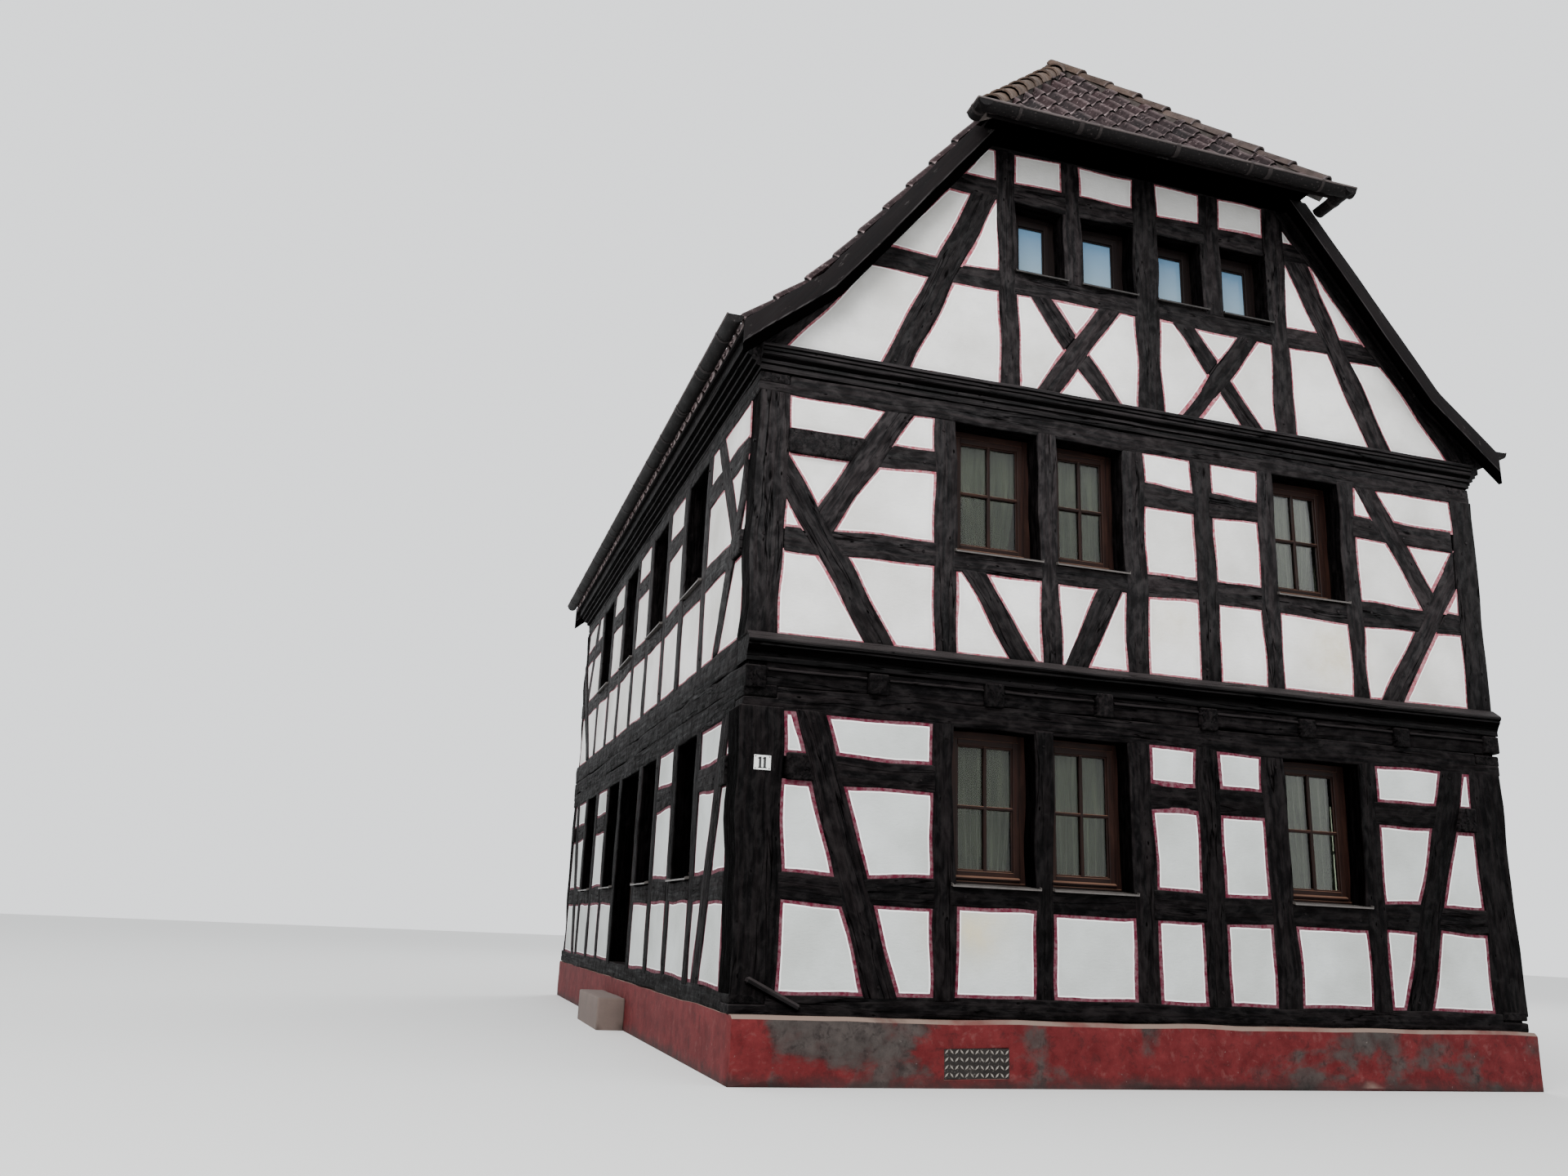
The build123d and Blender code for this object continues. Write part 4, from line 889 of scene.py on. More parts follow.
joinery = {
    "into": 0.012, "frame": 0.055, "frameDepth": 0.065, "sash": 0.048, "sashDepth": 0.050,
    "sashStep": 0.006, "bottomRail": 0.070, "bar": 0.024, "barDepth": 0.022, "innerBar": 0.6,
    "barEdge": 0.004, "glass": 0.006, "bead": 0.012, "beadDepth": 0.011, "beadEdge": 0.002,
    "drip": 0.030, "dripProud": 0.024, "dripSlope": 0.014, "footLow": 0.030, "footHigh": 0.046,
    "sillLow": 0.026, "sillThick": 0.003, "sillDrop": 0.020, "sillPast": 0.02, "lip": 0.011,
    "nose": 0.034, "endLow": 0.004, "endUp": 0.022, "endSlope": 0.008, "sillEdge": 0.0008,
    "atticAbove": 6, "netGap": 0.050, "netFold": 0.014, "netFoldEvery": 0.062, "netColumns": 64,
    "netRows": 14, "netHem": 0.006, "netParted": (0.0, 0.35, 0.0, 0.2),
}


# Four bars round an opening: left, right, bottom and top
def addRing(target, width, height, sides, bottom, front, depth, inset, chance, edge=0.003):
    left, right, foot, head = -width / 2 + inset, width / 2 - inset, inset, height - inset
    for low, high in (((left, foot), (left + sides, head)), ((right - sides, foot), (right, head)),
                      ((left + sides, foot), (right - sides, foot + bottom)),
                      ((left + sides, head - sides), (right - sides, head))):
        addBar(target, (low[0], front - depth, low[1]), (high[0], front, high[1]), chance, edge)


# Frame, sash, bead, weather bar and glazing bars of one window, with where its glass is and how far in
def addJoinery(target, width, height, attic, place, chance, j=joinery):
    unit = bmesh.new()
    reveal = house["reveal"]
    inset = j["frame"] - j["sashStep"]
    addRing(unit, width + 2 * j["into"], height + j["into"], j["frame"] + j["into"], j["frame"], -reveal,
            j["frameDepth"], 0, chance)
    sashFront = -reveal + j["sashStep"]
    addRing(unit, width, height, j["sash"], j["bottomRail"], sashFront, j["sashDepth"], inset, chance)
    inner = inset + j["sash"]
    glassFront = sashFront - j["sashDepth"] / 2
    # a narrow bead inside the sash holds the pane
    addRing(unit, width, height, j["bead"], j["bottomRail"] - j["sash"] + j["bead"], glassFront + j["bead"],
            j["beadDepth"], inner, chance, j["beadEdge"])
    # the weather bar throws rain off the sash onto the frame's foot
    dripFoot, dripReach, footReach = j["frame"] + 0.004, width / 2 - j["frame"], width / 2 - 0.01
    addBar(unit, (-dripReach, sashFront - 0.01, dripFoot),
           (dripReach, sashFront + j["dripProud"], dripFoot + j["drip"]), chance, j["barEdge"],
           j["dripSlope"])
    addBar(unit, (-footReach, -reveal - 0.01, j["footLow"]), (footReach, -reveal + 0.014, j["footHigh"]),
           chance)
    if not attic:
        half = (j["frame"] + j["bottomRail"] + height - inner) / 2
        thin = j["barDepth"] * j["innerBar"]
        for back, depth in ((glassFront + 0.001, j["barDepth"]), (glassFront - j["glass"] - thin, thin)):
            addBar(unit, (-j["bar"] / 2, back, inner), (j["bar"] / 2, back + depth, height - inner), chance,
                   j["barEdge"])
            addBar(unit, (-width / 2 + inner, back + 0.001, half - j["bar"] / 2),
                   (width / 2 - inner, back + depth - 0.001, half + j["bar"] / 2), chance, j["barEdge"])
    appendPart(target, unit, place)
    return glassFront, inner


# Sheet metal sill: a sloping top, a front lip and a small upstand at each end
def addSill(target, width, place, j=joinery):
    tray = bmesh.new()
    half, nose, foot = width / 2 + j["sillPast"], j["nose"], j["sillLow"]
    thick, head = j["sillThick"], foot + j["sillThick"]
    endLow, endHigh = j["endLow"], j["endLow"] + j["endUp"]
    for low, high, slope in (
        ((-half, -house["reveal"] + 0.002, foot), (half, nose, head), j["sillDrop"]),
        ((-half, nose - thick, foot - j["sillDrop"] - j["lip"]), (half, nose, head - j["sillDrop"]), 0),
        ((-half - thick, -0.01, endLow), (-half, nose, endHigh), j["endSlope"]),
        ((half, -0.01, endLow), (half + thick, nose, endHigh), j["endSlope"]),
    ):
        sheet = makeBlock(low, high)
        for vert in sheet.verts:
            if vert.co.y > (low[1] + high[1]) / 2:
                vert.co.z -= slope
        bevelEdges(sheet, j["sillEdge"])
        lip = sheet.verts.layers.float.new("lip")
        for vert in sheet.verts:
            vert[lip] = max(0.0, min(1.0, (vert.co.y - nose + 0.014) / 0.011))
        appendPart(tray, sheet)
    appendPart(target, tray, place)


# A gathered net curtain, hung from a rail above the glass; its cloth is longer than its rail
def hangNet(name, width, height, place, chance, parted, look=joinery):
    shape = bmesh.new()
    bmesh.ops.create_grid(shape, x_segments=look["netColumns"], y_segments=look["netRows"], size=0.5)
    cloth = shape.loops.layers.uv.new("cloth")
    for face in shape.faces:
        for loop in face.loops:
            loop[cloth].uv = (loop.vert.co.x + 0.5, loop.vert.co.y + 0.5)
    seed = chance.uniform(0, 90)
    folds = round(width / look["netFoldEvery"])
    for vert in shape.verts:
        along, drop = vert.co.x + 0.5, 0.5 - vert.co.y
        stray = 0.35 * noise.noise(Vector((along * 5, seed, drop * 0.6)))
        wave = math.sin((along * folds + stray) * 2 * math.pi)
        uneven = 0.8 + 0.4 * noise.noise(Vector((along * 3, seed, 3)))
        depth = look["netFold"] * (0.55 + 0.45 * drop) * wave * uneven
        side = (along - 0.5) * (1 - parted * drop ** 2)
        vert.co = Vector((side * width, depth, height * (1 - drop)))
    low = min(vert.co.z for vert in shape.verts)
    for vert in shape.verts:
        if vert.co.z < low + 0.001:
            vert.co.z += look["netHem"] * noise.noise(Vector((vert.co.x * 20, seed, 5)))
    area = sum(face.calc_area() for face in shape.faces)
    bmesh.ops.transform(shape, matrix=place, verts=shape.verts)
    piece = makePiece(name, shape, ["net"], sharp=180)


wood, panes, sills = bmesh.new(), bmesh.new(), bmesh.new()
chance = random.Random(5)
for number, solid in enumerate(solidsOf("window_frames")):
    middle, low, high = middleOf(solid)
    solid.free()
    outward = outwardOf(middle)
    width, height = abs((high - low).dot(skyward.cross(outward))), high.z - low.z
    wall = house["halfDepth"] if abs(outward.y) > 0.5 else house["halfWidth"]
    foot = Vector((middle.x, middle.y, low.z))
    foot += outward * (wall - foot.dot(outward))
    place = wallMatrix(outward, foot)
    attic = middle.z > joinery["atticAbove"]
    glassFront, inner = addJoinery(wood, width, height, attic, place, chance)
    reach, rise = width / 2 - inner + 0.01, height / 2 - inner + 0.01
    pane = makeBlock((-reach, glassFront - joinery["glass"], height / 2 - rise),
                     (reach, glassFront, height / 2 + rise))
    setMaterial(pane, 1 if attic else 0)
    appendPart(panes, pane, place)
    addSill(sills, width, place)
    # the small windows at the back have no nets
    if not attic or outward.y < 0:
        frameWide = joinery["frame"]
        behind = house["reveal"] + joinery["frameDepth"] + joinery["netGap"]
        hung = wallMatrix(outward, foot + skyward * frameWide - outward * behind)
        hangNet(f"netCurtain.{number:02d}", width - 2 * frameWide, height - 2 * frameWide, hung, chance,
                joinery["netParted"][number % 4])
makePiece("windowJoinery", wood, ["windowWood"], ["window_frames", "window_sashes"])
makePiece("windowPanes", panes, ["glass", "paintedSkyPane"], ["window_glass"])
makePiece("metalSills", sills, ["sillMetal"], ["window_sills"])
print("windows glazed")

roof = {
    "ridge": 9.46, "mainPitch": math.radians(52), "footPitch": math.radians(40),
    "hipPitch": math.radians(50), "eaveX": 3.43, "footSpan": 0.55, "vergeY": 4.66, "hipEave": 7.36,
    "hipY": 4.99, "deck": 0.078, "boards": 0.10, "tileWidth": 0.222, "tileLap": 0.016,
    "tileLength": 0.40, "gauge": 0.333, "tileThick": 0.023, "pan": 0.032, "roll": 0.050,
    "rollFrom": 0.60, "tilt": 0.024, "sink": 0.054, "profile": 10, "bowed": 0.018, "lipDeep": 0.030,
    "lipDroop": 0.006, "slopeOverrun": 0.03, "hipOverrun": 0.055, "capSink": 0.075, "capRadius": 0.095,
    "capFlare": 0.022, "capLip": 0.03, "capLength": 0.40, "capGauge": 0.345, "capThick": 0.016,
    "capSteps": 8, "capFlat": 0.86, "capTilt": 0.035, "capRaise": 0.012, "bedTop": 0.03, "bedFoot": 0.075,
    # Where a tile steps under the next one, how much lower it is there, and where its painted shadow with
    # some soot lies
    "overlap": (0.055, 0.012), "tuck": 0.9, "hollowBack": 0.035,
    # Spreads of the chance in laying tiles and caps: turned about Z and Y, raised, slipped
    "tileTurn": (0.008, 0.010), "tileLift": 0.0016, "tileSlip": 0.003, "capTurn": (0.018, 0.03),
    "capLift": 0.003, "nearHip": 0.3, "nearEave": 0.4,
}
kinkX = roof["eaveX"] - roof["footSpan"]
kinkZ = roof["ridge"] - kinkX * math.tan(roof["mainPitch"])
mainLength = kinkX / math.cos(roof["mainPitch"])
footLength = roof["footSpan"] / math.cos(roof["footPitch"])
hipRise = math.tan(roof["hipPitch"])
apexY = roof["hipY"] - (roof["ridge"] - roof["hipEave"]) / hipRise
hipHalf = (roof["ridge"] - roof["hipEave"]) / math.tan(roof["mainPitch"])
hipLength = (roof["hipY"] - apexY) / math.cos(roof["hipPitch"])
tileLayers = ("tone", "crest", "lowerEnd", "hollow")


# Point of the right-hand main slope at a distance down from the ridge
def mainPoint(down):
    x, z, rest, pitch = 0, roof["ridge"], down, roof["mainPitch"]
    if down > mainLength:
        x, z, rest, pitch = kinkX, kinkZ, down - mainLength, roof["footPitch"]
    return Vector((x + rest * math.cos(pitch), 0, z - rest * math.sin(pitch)))


def hipPoint(down):
    pitch = roof["hipPitch"]
    return Vector((0, -apexY - down * math.cos(pitch), roof["ridge"] - down * math.sin(pitch)))


# One pantile: x across, y up the slope from its lower end, z away from the roof
def pantile(look=roof):
    tile = bmesh.new()
    full = look["tileWidth"] + look["tileLap"]
    bmesh.ops.create_grid(tile, x_segments=look["profile"], y_segments=4, size=0.5)
    rows = (0, look["lipDeep"], *(look["gauge"] - back for back in look["overlap"]), look["tileLength"])
    for vert in tile.verts:
        vert.co.y = rows[round((vert.co.y + 0.5) * 4)] / look["tileLength"] - 0.5
        across = (vert.co.x + 0.5) * full
        share = across / full
        rise = -look["pan"] * math.sin(math.pi * share / look["rollFrom"])
        if share >= look["rollFrom"]:
            rise = look["roll"] * math.sin(math.pi * (share - look["rollFrom"]) / (1 - look["rollFrom"]))
        along = vert.co.y + 0.5
        low = look["bowed"] * math.sin(math.pi * min(1, share / look["rollFrom"])) if along < 0.5 else 0
        droop = look["lipDroop"] if along < 0.01 else 0
        rise = rise * (1 if along < 0.5 else look["tuck"]) - droop
        vert.co = Vector((across - full / 2, along * look["tileLength"] - low, rise))
    bmesh.ops.recalc_face_normals(tile, faces=tile.faces)
    solidifySheet(tile, tile.faces[:][0].normal.z, look["tileThick"])
    for face in tile.faces:
        face.material_index = 1 if face.normal.y < -0.6 else 0
    for name in tileLayers:
        setLayer(tile, name, 0)
    crest, lowerEnd, hollow = [tile.verts.layers.float[name] for name in tileLayers[1:]]
    # the hollow, crest and lower end place the tile material's painted shadow, shade and highlights
    for vert in tile.verts:
        vert[hollow] = 1 if vert.co.y > look["gauge"] - look["hollowBack"] else 0
        vert[crest] = (vert.co.z + look["pan"]) / (look["pan"] + look["roll"])
        vert[lowerEnd] = 1 if vert.co.y < look["lipDeep"] * 0.4 else 0
    return tile


tileMesh = keepMesh("pantile", pantile())


# A small chance turn, first about Z and then about Y
def chanceTurn(chance, aboutZ, aboutY):
    turn = Matrix.Rotation(chance.gauss(0, aboutZ), 4, "Z")
    return turn @ Matrix.Rotation(chance.gauss(0, aboutY), 4, "Y")


# Lays one tile with its lower end at a point, running up to another
def layTile(target, lowEnd, highEnd, across, chance, look=roof):
    upward = (highEnd - lowEnd).normalized()
    away = across.cross(upward).normalized()
    fresh = appendCopy(target, tileMesh)
    tilt = Matrix.Rotation(-math.atan2(look["tilt"], look["tileLength"]), 4, "X")
    sway = chanceTurn(chance, *look["tileTurn"])
    deep = look["sink"] - look["tilt"] - chance.gauss(0, look["tileLift"])
    spot = lowEnd - away * deep + upward * chance.gauss(0, look["tileSlip"])
    place = Matrix.Translation(spot) @ turnTo(across, upward, away) @ tilt @ sway
    bmesh.ops.transform(target, matrix=place, verts=fresh)
    tone, shade = target.verts.layers.float["tone"], chance.gauss(0, 1)
    for vert in fresh:
        vert[tone] = shade


# Cuts a part of the roof along the upright plane over one hip; keep is 1 for a main slope, -1 for a half-hip
def cutMitre(target, side, end, keep):
    away = Vector((-keep * side * (roof["hipY"] - apexY), keep * end * hipHalf, 0)).normalized()
    cutThrough(target, Vector((0, end * apexY, roof["ridge"])), away, True)
    bmesh.ops.holes_fill(target, edges=[edge for edge in target.edges if edge.is_boundary], sides=0)


def newTiles():
    shape = bmesh.new()
    for name in tileLayers:
        shape.verts.layers.float.new(name)
    return shape


def tileMainSlope(name, side, look=roof):
    chance = random.Random(name)
    body, edges = newTiles(), newTiles()
    columns = round(2 * look["vergeY"] / look["tileWidth"])
    step = 2 * look["vergeY"] / columns
    total = mainLength + footLength
    rows = int(total / look["gauge"]) + 1
    gauge = (total + look["slopeOverrun"]) / rows
    for row in range(rows):
        down = total + look["slopeOverrun"] - row * gauge
        lowEnd, highEnd = mainPoint(down), mainPoint(down - look["tileLength"])
        hipLine = look["hipY"] - (lowEnd.z - look["hipEave"]) / hipRise
        for column in range(columns):
            y = -look["vergeY"] + (column + 0.5) * step
            if abs(y) > hipLine + step and lowEnd.z > look["hipEave"]:
                continue
            near = abs(y) > apexY - look["nearHip"] and lowEnd.z > look["hipEave"] - look["nearEave"]
            place = [Vector((side * point.x, y, point.z)) for point in (lowEnd, highEnd)]
            layTile(edges if near else body, *place, Vector((0, side, 0)), chance)
    for end in (-1, 1):
        cutMitre(edges, side, end, 1)
    appendPart(body, edges)
    makePiece(name, body, ["tile", "tileEnd"], sharp=50)


def tileHip(name, end, look=roof):
    chance = random.Random(name)
    shape = newTiles()
    rows = int(hipLength / look["gauge"]) + 1
    gauge = (hipLength + look["hipOverrun"]) / rows
    columns = round(2 * hipHalf / look["tileWidth"]) + 2
    for row in range(rows):
        down = hipLength + look["hipOverrun"] - row * gauge
        lowEnd, highEnd = hipPoint(down), hipPoint(down - look["tileLength"])
        for column in range(columns):
            x = (column - (columns - 1) / 2) * look["tileWidth"]
            if abs(x) > hipHalf * down / hipLength + look["tileWidth"]:
                continue
            place = [Vector((-end * x, -end * point.y, point.z)) for point in (lowEnd, highEnd)]
            layTile(shape, *place, Vector((-end, 0, 0)), chance)
    for side in (-1, 1):
        cutMitre(shape, side, end, -1)
    makePiece(name, shape, ["tile", "tileEnd"], sharp=50)


# A half-round capping tile, wider at its lower end, with a rounded lip there
def cappingTile(look=roof):
    cap = bmesh.new()
    wide, narrow = look["capRadius"] + look["capFlare"], look["capRadius"]
    rim = [cap.verts.new(spot) for spot in ((wide, 0, 0), (wide - 0.004, look["capLip"], 0),
                                            (narrow, look["capLength"], 0))]
    spine = [cap.edges.new(pair) for pair in zip(rim, rim[1:])]
    bmesh.ops.spin(cap, geom=rim + spine, cent=(0, 0, 0), axis=(0, 1, 0), angle=-math.pi,
                   steps=look["capSteps"])
    bmesh.ops.recalc_face_normals(cap, faces=cap.faces)
    solidifySheet(cap, sum(face.normal.z for face in cap.faces), look["capThick"])
    for vert in cap.verts:
        vert.co.z *= look["capFlat"]
    crest, lowerEnd = cap.verts.layers.float.new("crest"), cap.verts.layers.float.new("lowerEnd")
    # the crest lightens the caps' tops and darkens their sides as painted light and shade
    for vert in cap.verts:
        vert[crest] = 0.3 + 0.5 * vert.co.z / wide
        vert[lowerEnd] = 1 if vert.co.y < 0.02 else 0
    return cap


# Capping tiles laid one over the next from a low point up to a high one, with the mortar that beds them
def capLine(target, low, high, chance, look=roof):
    run = high - low
    count = round(run.length / look["capGauge"])
    along = run.normalized()
    across = along.cross(skyward).normalized()
    away = across.cross(along).normalized()
    for number in range(count):
        cap = cappingTile()
        setLayer(cap, "tone", chance.gauss(0.5, 1))
        sway = chanceTurn(chance, *look["capTurn"])
        tilt = Matrix.Rotation(-look["capTilt"], 4, "X")
        deep = look["capSink"] - look["capRaise"] + chance.gauss(0, look["capLift"])
        spot = low + run * (number / count) - away * deep
        appendPart(target, cap, Matrix.Translation(spot) @ turnTo(across, along, away) @ tilt @ sway)
    wide, top, foot = look["capRadius"], look["capSink"] - look["bedTop"], look["capSink"] + look["bedFoot"]
    bed = bmesh.new()
    outline = [bed.verts.new(low + across * side - away * deep) for side, deep in (
        (-wide * 0.3, top - 0.02), (wide * 0.3, top - 0.02), (wide, top + 0.03), (wide, foot), (-wide, foot),
        (-wide, top + 0.03))]
    thicken(bed, bed.faces.new(outline), run)
    setMaterial(bed, 1)
    setLayer(bed, "tone", 0)
    appendPart(target, bed)


# Section of a roof slope's layer at a depth under its tiles, from the ridge to the eave
def slopeSection(depth):
    steep, flat = roof["mainPitch"], roof["footPitch"]
    steepTop, flatTop = roof["ridge"] - depth / math.cos(steep), kinkZ - depth / math.cos(flat)
    x = (steepTop - flatTop - kinkX * math.tan(flat)) / (math.tan(steep) - math.tan(flat))
    eave = flatTop - roof["footSpan"] * math.tan(flat)
    return [(0, steepTop), (x, steepTop - x * math.tan(steep)), (roof["eaveX"], eave)]


def hipSection(depth):
    drop = depth / math.cos(roof["hipPitch"])
    return [(apexY, roof["ridge"] - drop), (roof["hipY"], roof["hipEave"] - drop)]


# A layer of roof boards, drawn as (outwards, up), run along the roof and cut on a mitre at two hips
def layDeck(target, sectionAt, reach, outward, hips, keep):
    shape = bmesh.new()
    along = skyward.cross(outward)
    outline = sectionAt(roof["deck"]) + sectionAt(roof["boards"])[::-1]
    corners = [shape.verts.new(outward * out + Vector((0, 0, rise)) - along * reach) for out, rise in outline]
    thicken(shape, shape.faces.new(corners), along * 2 * reach)
    for side, end in hips:
        cutMitre(shape, side, end, keep)
    bmesh.ops.recalc_face_normals(shape, faces=shape.faces)
    grain = shape.verts.layers.float_vector.new("grain")
    section = shape.verts.layers.float_vector.new("section")
    for vert in shape.verts:
        vert[grain] = Vector((vert.co.dot(along), vert.co.dot(outward), vert.co.z))
        vert[section] = Vector((0, 0, 0))
    appendPart(target, shape)


for nodeName, side in (("roof_slope_yard", -1), ("roof_slope_far", 1)):
    shape = bmesh.new()
    layDeck(shape, slopeSection, roof["vergeY"], Vector((side, 0, 0)), [(side, -1), (side, 1)], 1)
    makePiece(nodeName + ".boarding", shape, ["board"], [nodeName])
hipBoards = bmesh.new()
for end in (-1, 1):
    layDeck(hipBoards, hipSection, hipHalf, Vector((0, end, 0)), [(-1, end), (1, end)], -1)
makePiece("half_hips.boarding", hipBoards, ["board"], ["half_hips"])
tileMainSlope("pantiles.yard", -1)
tileMainSlope("pantiles.far", 1)
tileHip("pantiles.streetHip", -1)
tileHip("pantiles.backHip", 1)
caps = bmesh.new()
chance = random.Random(21)
for end in (-1, 1):
    for side in (-1, 1):
        low = Vector((side * (hipHalf - 0.02), end * (roof["hipY"] - 0.02), roof["hipEave"] + 0.03))
        capLine(caps, low, Vector((0, end * (apexY + 0.02), roof["ridge"] - 0.01)), chance)
low, high = [Vector((0, end * apexY, roof["ridge"] + 0.01)) for end in (-1, 1)]
capLine(caps, low, high, chance)
makePiece("cappingTiles", caps, ["capTile", "mortar"], ["capping_tiles"], sharp=50)
print("roof tiled")

boarding = {**hewing, "bow": 0.008, "edge": 0.004, "face": 0.003, "proud": 0.001, "bevel": 0.005, "into": 0.0}
footTop = kinkZ + kinkX * math.tan(roof["footPitch"])
# the bargeboards carry a painted highlight and a painted shadow strip along their lower part
materials["bargeboard"] = makeBoard("bargeboardPaintedShadow", boardLook, (
    (roof["ridge"], roof["mainPitch"]), (footTop, roof["footPitch"])))
hewNode("bargeboards", False, False, boarding, "bargeboard")
for nodeName in ("gable_bands", "upper_sill_gable_beams", "eaves_cornices", "hip_eaves_boxes"):
    hewNode(nodeName, False, False, {**boarding, "cut": 0.16, "bevel": 0.003}, "moulding")
print("mouldings cut")


# Rounds a stone or rendered solid except at its foot and makes it uneven; scales are per metre
def roughen(solid, width, step, noises):
    upper = [edge for edge in solid.edges if max(vert.co.z for vert in edge.verts) > 0.01]
    bevelEdges(solid, width, 2, upper)
    middle, low, high = middleOf(solid)
    for axis in range(3):
        way = Vector([1 if axis == item else 0 for item in range(3)])
        cutSlices(solid, way, low[axis], high[axis], max(1, round((high[axis] - low[axis]) / step)))
    for vert in solid.verts:
        if vert.co.z > 0.02:
            shifts = [noise.noise_vector(vert.co * scale) * size for scale, size in noises]
            vert.co += sum(shifts, Vector((0, 0, 0)))
    return solid


shape = shapeSolids("plinth", lambda solid: roughen(
    solid, plinthLook["bevel"], plinthLook["cut"], ((1.9, plinthLook["uneven"]), (9, plinthLook["fine"]))))
makePiece("renderedPlinth", shape, ["plinth"], ["plinth"], sharp=40)
print("plinth rendered")

guttering = {
    "sheet": 0.003, "steps": 12, "bead": 0.009, "beadSides": 8, "leftReturn": 0.15, "rightReturn": 0.34,
    # How far apart they are, how wide, how proud, how much the bead stands out, its sides and its painted
    # highlight
    "sleeves": (0.98, 0.040, 0.003, 0.002, 8, 0.7), "brackets": (0.72, 0.026, 0.004, 0.003, 6, 0.6),
    "bandLip": 0.2,
}


def halfRound(spot, out, radius, steps):
    turns = [math.pi * step / steps for step in range(steps + 1)]
    return [spot + out * radius * math.cos(turn) - Vector((0, 0, radius * math.sin(turn))) for turn in turns]


# A half-round channel bent from sheet, open towards the sky, with its front rim on the side that it faces
def addTrough(target, start, end, out, radius, sheet, lip=0.0, steps=guttering["steps"]):
    trough = bmesh.new()
    rims = [[trough.verts.new(point) for point in halfRound(spot, out, radius, steps)]
            for spot in (start, end)]
    for step in range(steps):
        trough.faces.new((rims[0][step], rims[0][step + 1], rims[1][step + 1], rims[1][step]))
    trough.normal_update()
    centre = (start + end) / 2
    wayOut = sum(face.normal.dot(face.calc_center_median() - centre) for face in trough.faces)
    solidifySheet(trough, wayOut, sheet)
    setLayer(trough, "lip", lip)
    appendPart(target, trough)


# Closes one end of a trough with a half-round plate
def addEndPlate(target, spot, out, away, radius, sheet):
    plate = bmesh.new()
    corners = [plate.verts.new(point) for point in halfRound(spot, out, radius, guttering["steps"])]
    thicken(plate, plate.faces.new(corners), away * sheet)
    setLayer(plate, "lip", 0)
    appendPart(target, plate)


# A gutter with a beaded front, sleeves over its joints, brackets round it and plates on its shut ends
def addGutter(target, start, end, out, radius, closed=(True, True), look=guttering):
    along, length = (end - start).normalized(), (end - start).length
    addTrough(target, start, end, out, radius, look["sheet"])
    # the bead carries a painted highlight along its length
    addRod(target, start + out * radius, end + out * radius, look["bead"], look["beadSides"], 1.0)
    for kind, first in (("sleeves", 0.0), ("brackets", 0.5)):
        every, wide, proud, beadProud, sides, rubbed = look[kind]
        count = max(1, round(length / every))
        for number in range(0 if first else 1, count):
            spot = start + along * length * (number + first) / count
            edge = spot + along * wide
            addTrough(target, spot, edge, out, radius + proud, proud, look["bandLip"])
            addRod(target, spot + out * radius, edge + out * radius, look["bead"] + beadProud, sides, rubbed)
    for spot, away, shut in ((start, -along, closed[0]), (end, along, closed[1])):
        if shut:
            addEndPlate(target, spot, out, away, radius, look["sheet"])


gutters = bmesh.new()
for nodeName in ("eaves_gutters", "hip_gutters"):
    for solid in solidsOf(nodeName):
        middle, low, high = middleOf(solid)
        solid.free()
        atEaves = nodeName == "eaves_gutters"
        radius = (high.z - low.z) - guttering["sheet"]
        out = outwardOf(middle, Vector((0, 1, 0)) if atEaves else Vector((1, 0, 0)))
        right = skyward.cross(out)
        reach = abs((high - low).dot(right)) / 2 - guttering["sheet"]
        centre = Vector((middle.x, middle.y, high.z))
        start, end = centre - right * reach, centre + right * reach
        addGutter(gutters, start, end, out, radius, (atEaves, atEaves))
        if not atEaves:
            # short lengths turn the corners back towards the bargeboards
            returns = ((start, right, guttering["leftReturn"]), (end, -right, guttering["rightReturn"]))
            for spot, way, deep in returns:
                corner = spot + way * radius
                addGutter(gutters, corner + out * radius, corner - out * deep, -way, radius, (True, False))
makePiece("gutters", gutters, ["gutter"], ["eaves_gutters", "hip_gutters"], sharp=40)
print("gutters hung")

fittings = {
    "lozengeColumns": 13, "lozengeRows": 4, "lozenge": 0.0255, "lozengeWide": 0.0080, "lozengeHigh": 0.0038,
    "lozengeTop": 0.62, "lozengeLean": 48, "hatchEdge": 0.0015, "plateEdge": 0.001, "plateOut": 0.012,
    "digitHalf": 0.038, "digitAside": 0.0165, "strokeHalf": 0.0085, "paintThick": 0.0012, "screw": 0.0045,
    "serif": 0.006, "flag": (0.014, 0.006), "screwAside": 0.41, "screwUp": 0.40, "screwOut": 0.0012,
    "screwHigh": 0.003, "stripWide": 0.052, "stripDeep": 0.036, "stripEdge": 0.016,
    "stripFrom": (-3.148, -4.5, 0.650), "stripTo": (-2.773, -4.5, 0.471),
    # Height on the joist filler as a share, and thickness, of each thin moulding
    "fillets": ((0.62, 0.010), (0.70, 0.006)),
    "tenonLow": (3.05, 4.30, 0.45), "tenonHigh": (3.222, 4.472, 5.25),
}


# A raised lozenge of the chequer plate, with its rubbed top towards -Y
def makeLozenge(look=fittings):
    lozenge = bmesh.new()
    lip = lozenge.verts.layers.float.new("lip")
    spots = [Vector((x * look["lozenge"], 0, z * look["lozengeWide"]))
             for x, z in ((-1, 0), (0, -1), (1, 0), (0, 1))]
    base = [lozenge.verts.new(spot) for spot in spots]
    raised = Vector((0, -look["lozengeHigh"], 0))
    top = [lozenge.verts.new(spot * look["lozengeTop"] + raised) for spot in spots]
    for vert in top:
        vert[lip] = 1.0
    for number in range(4):
        after = (number + 1) % 4
        lozenge.faces.new((base[number], base[after], top[after], top[number]))
    lozenge.faces.new(top)
    lozenge.faces.new(base[::-1])
    bmesh.ops.recalc_face_normals(lozenge, faces=lozenge.faces)
    return keepMesh("lozenge", lozenge)


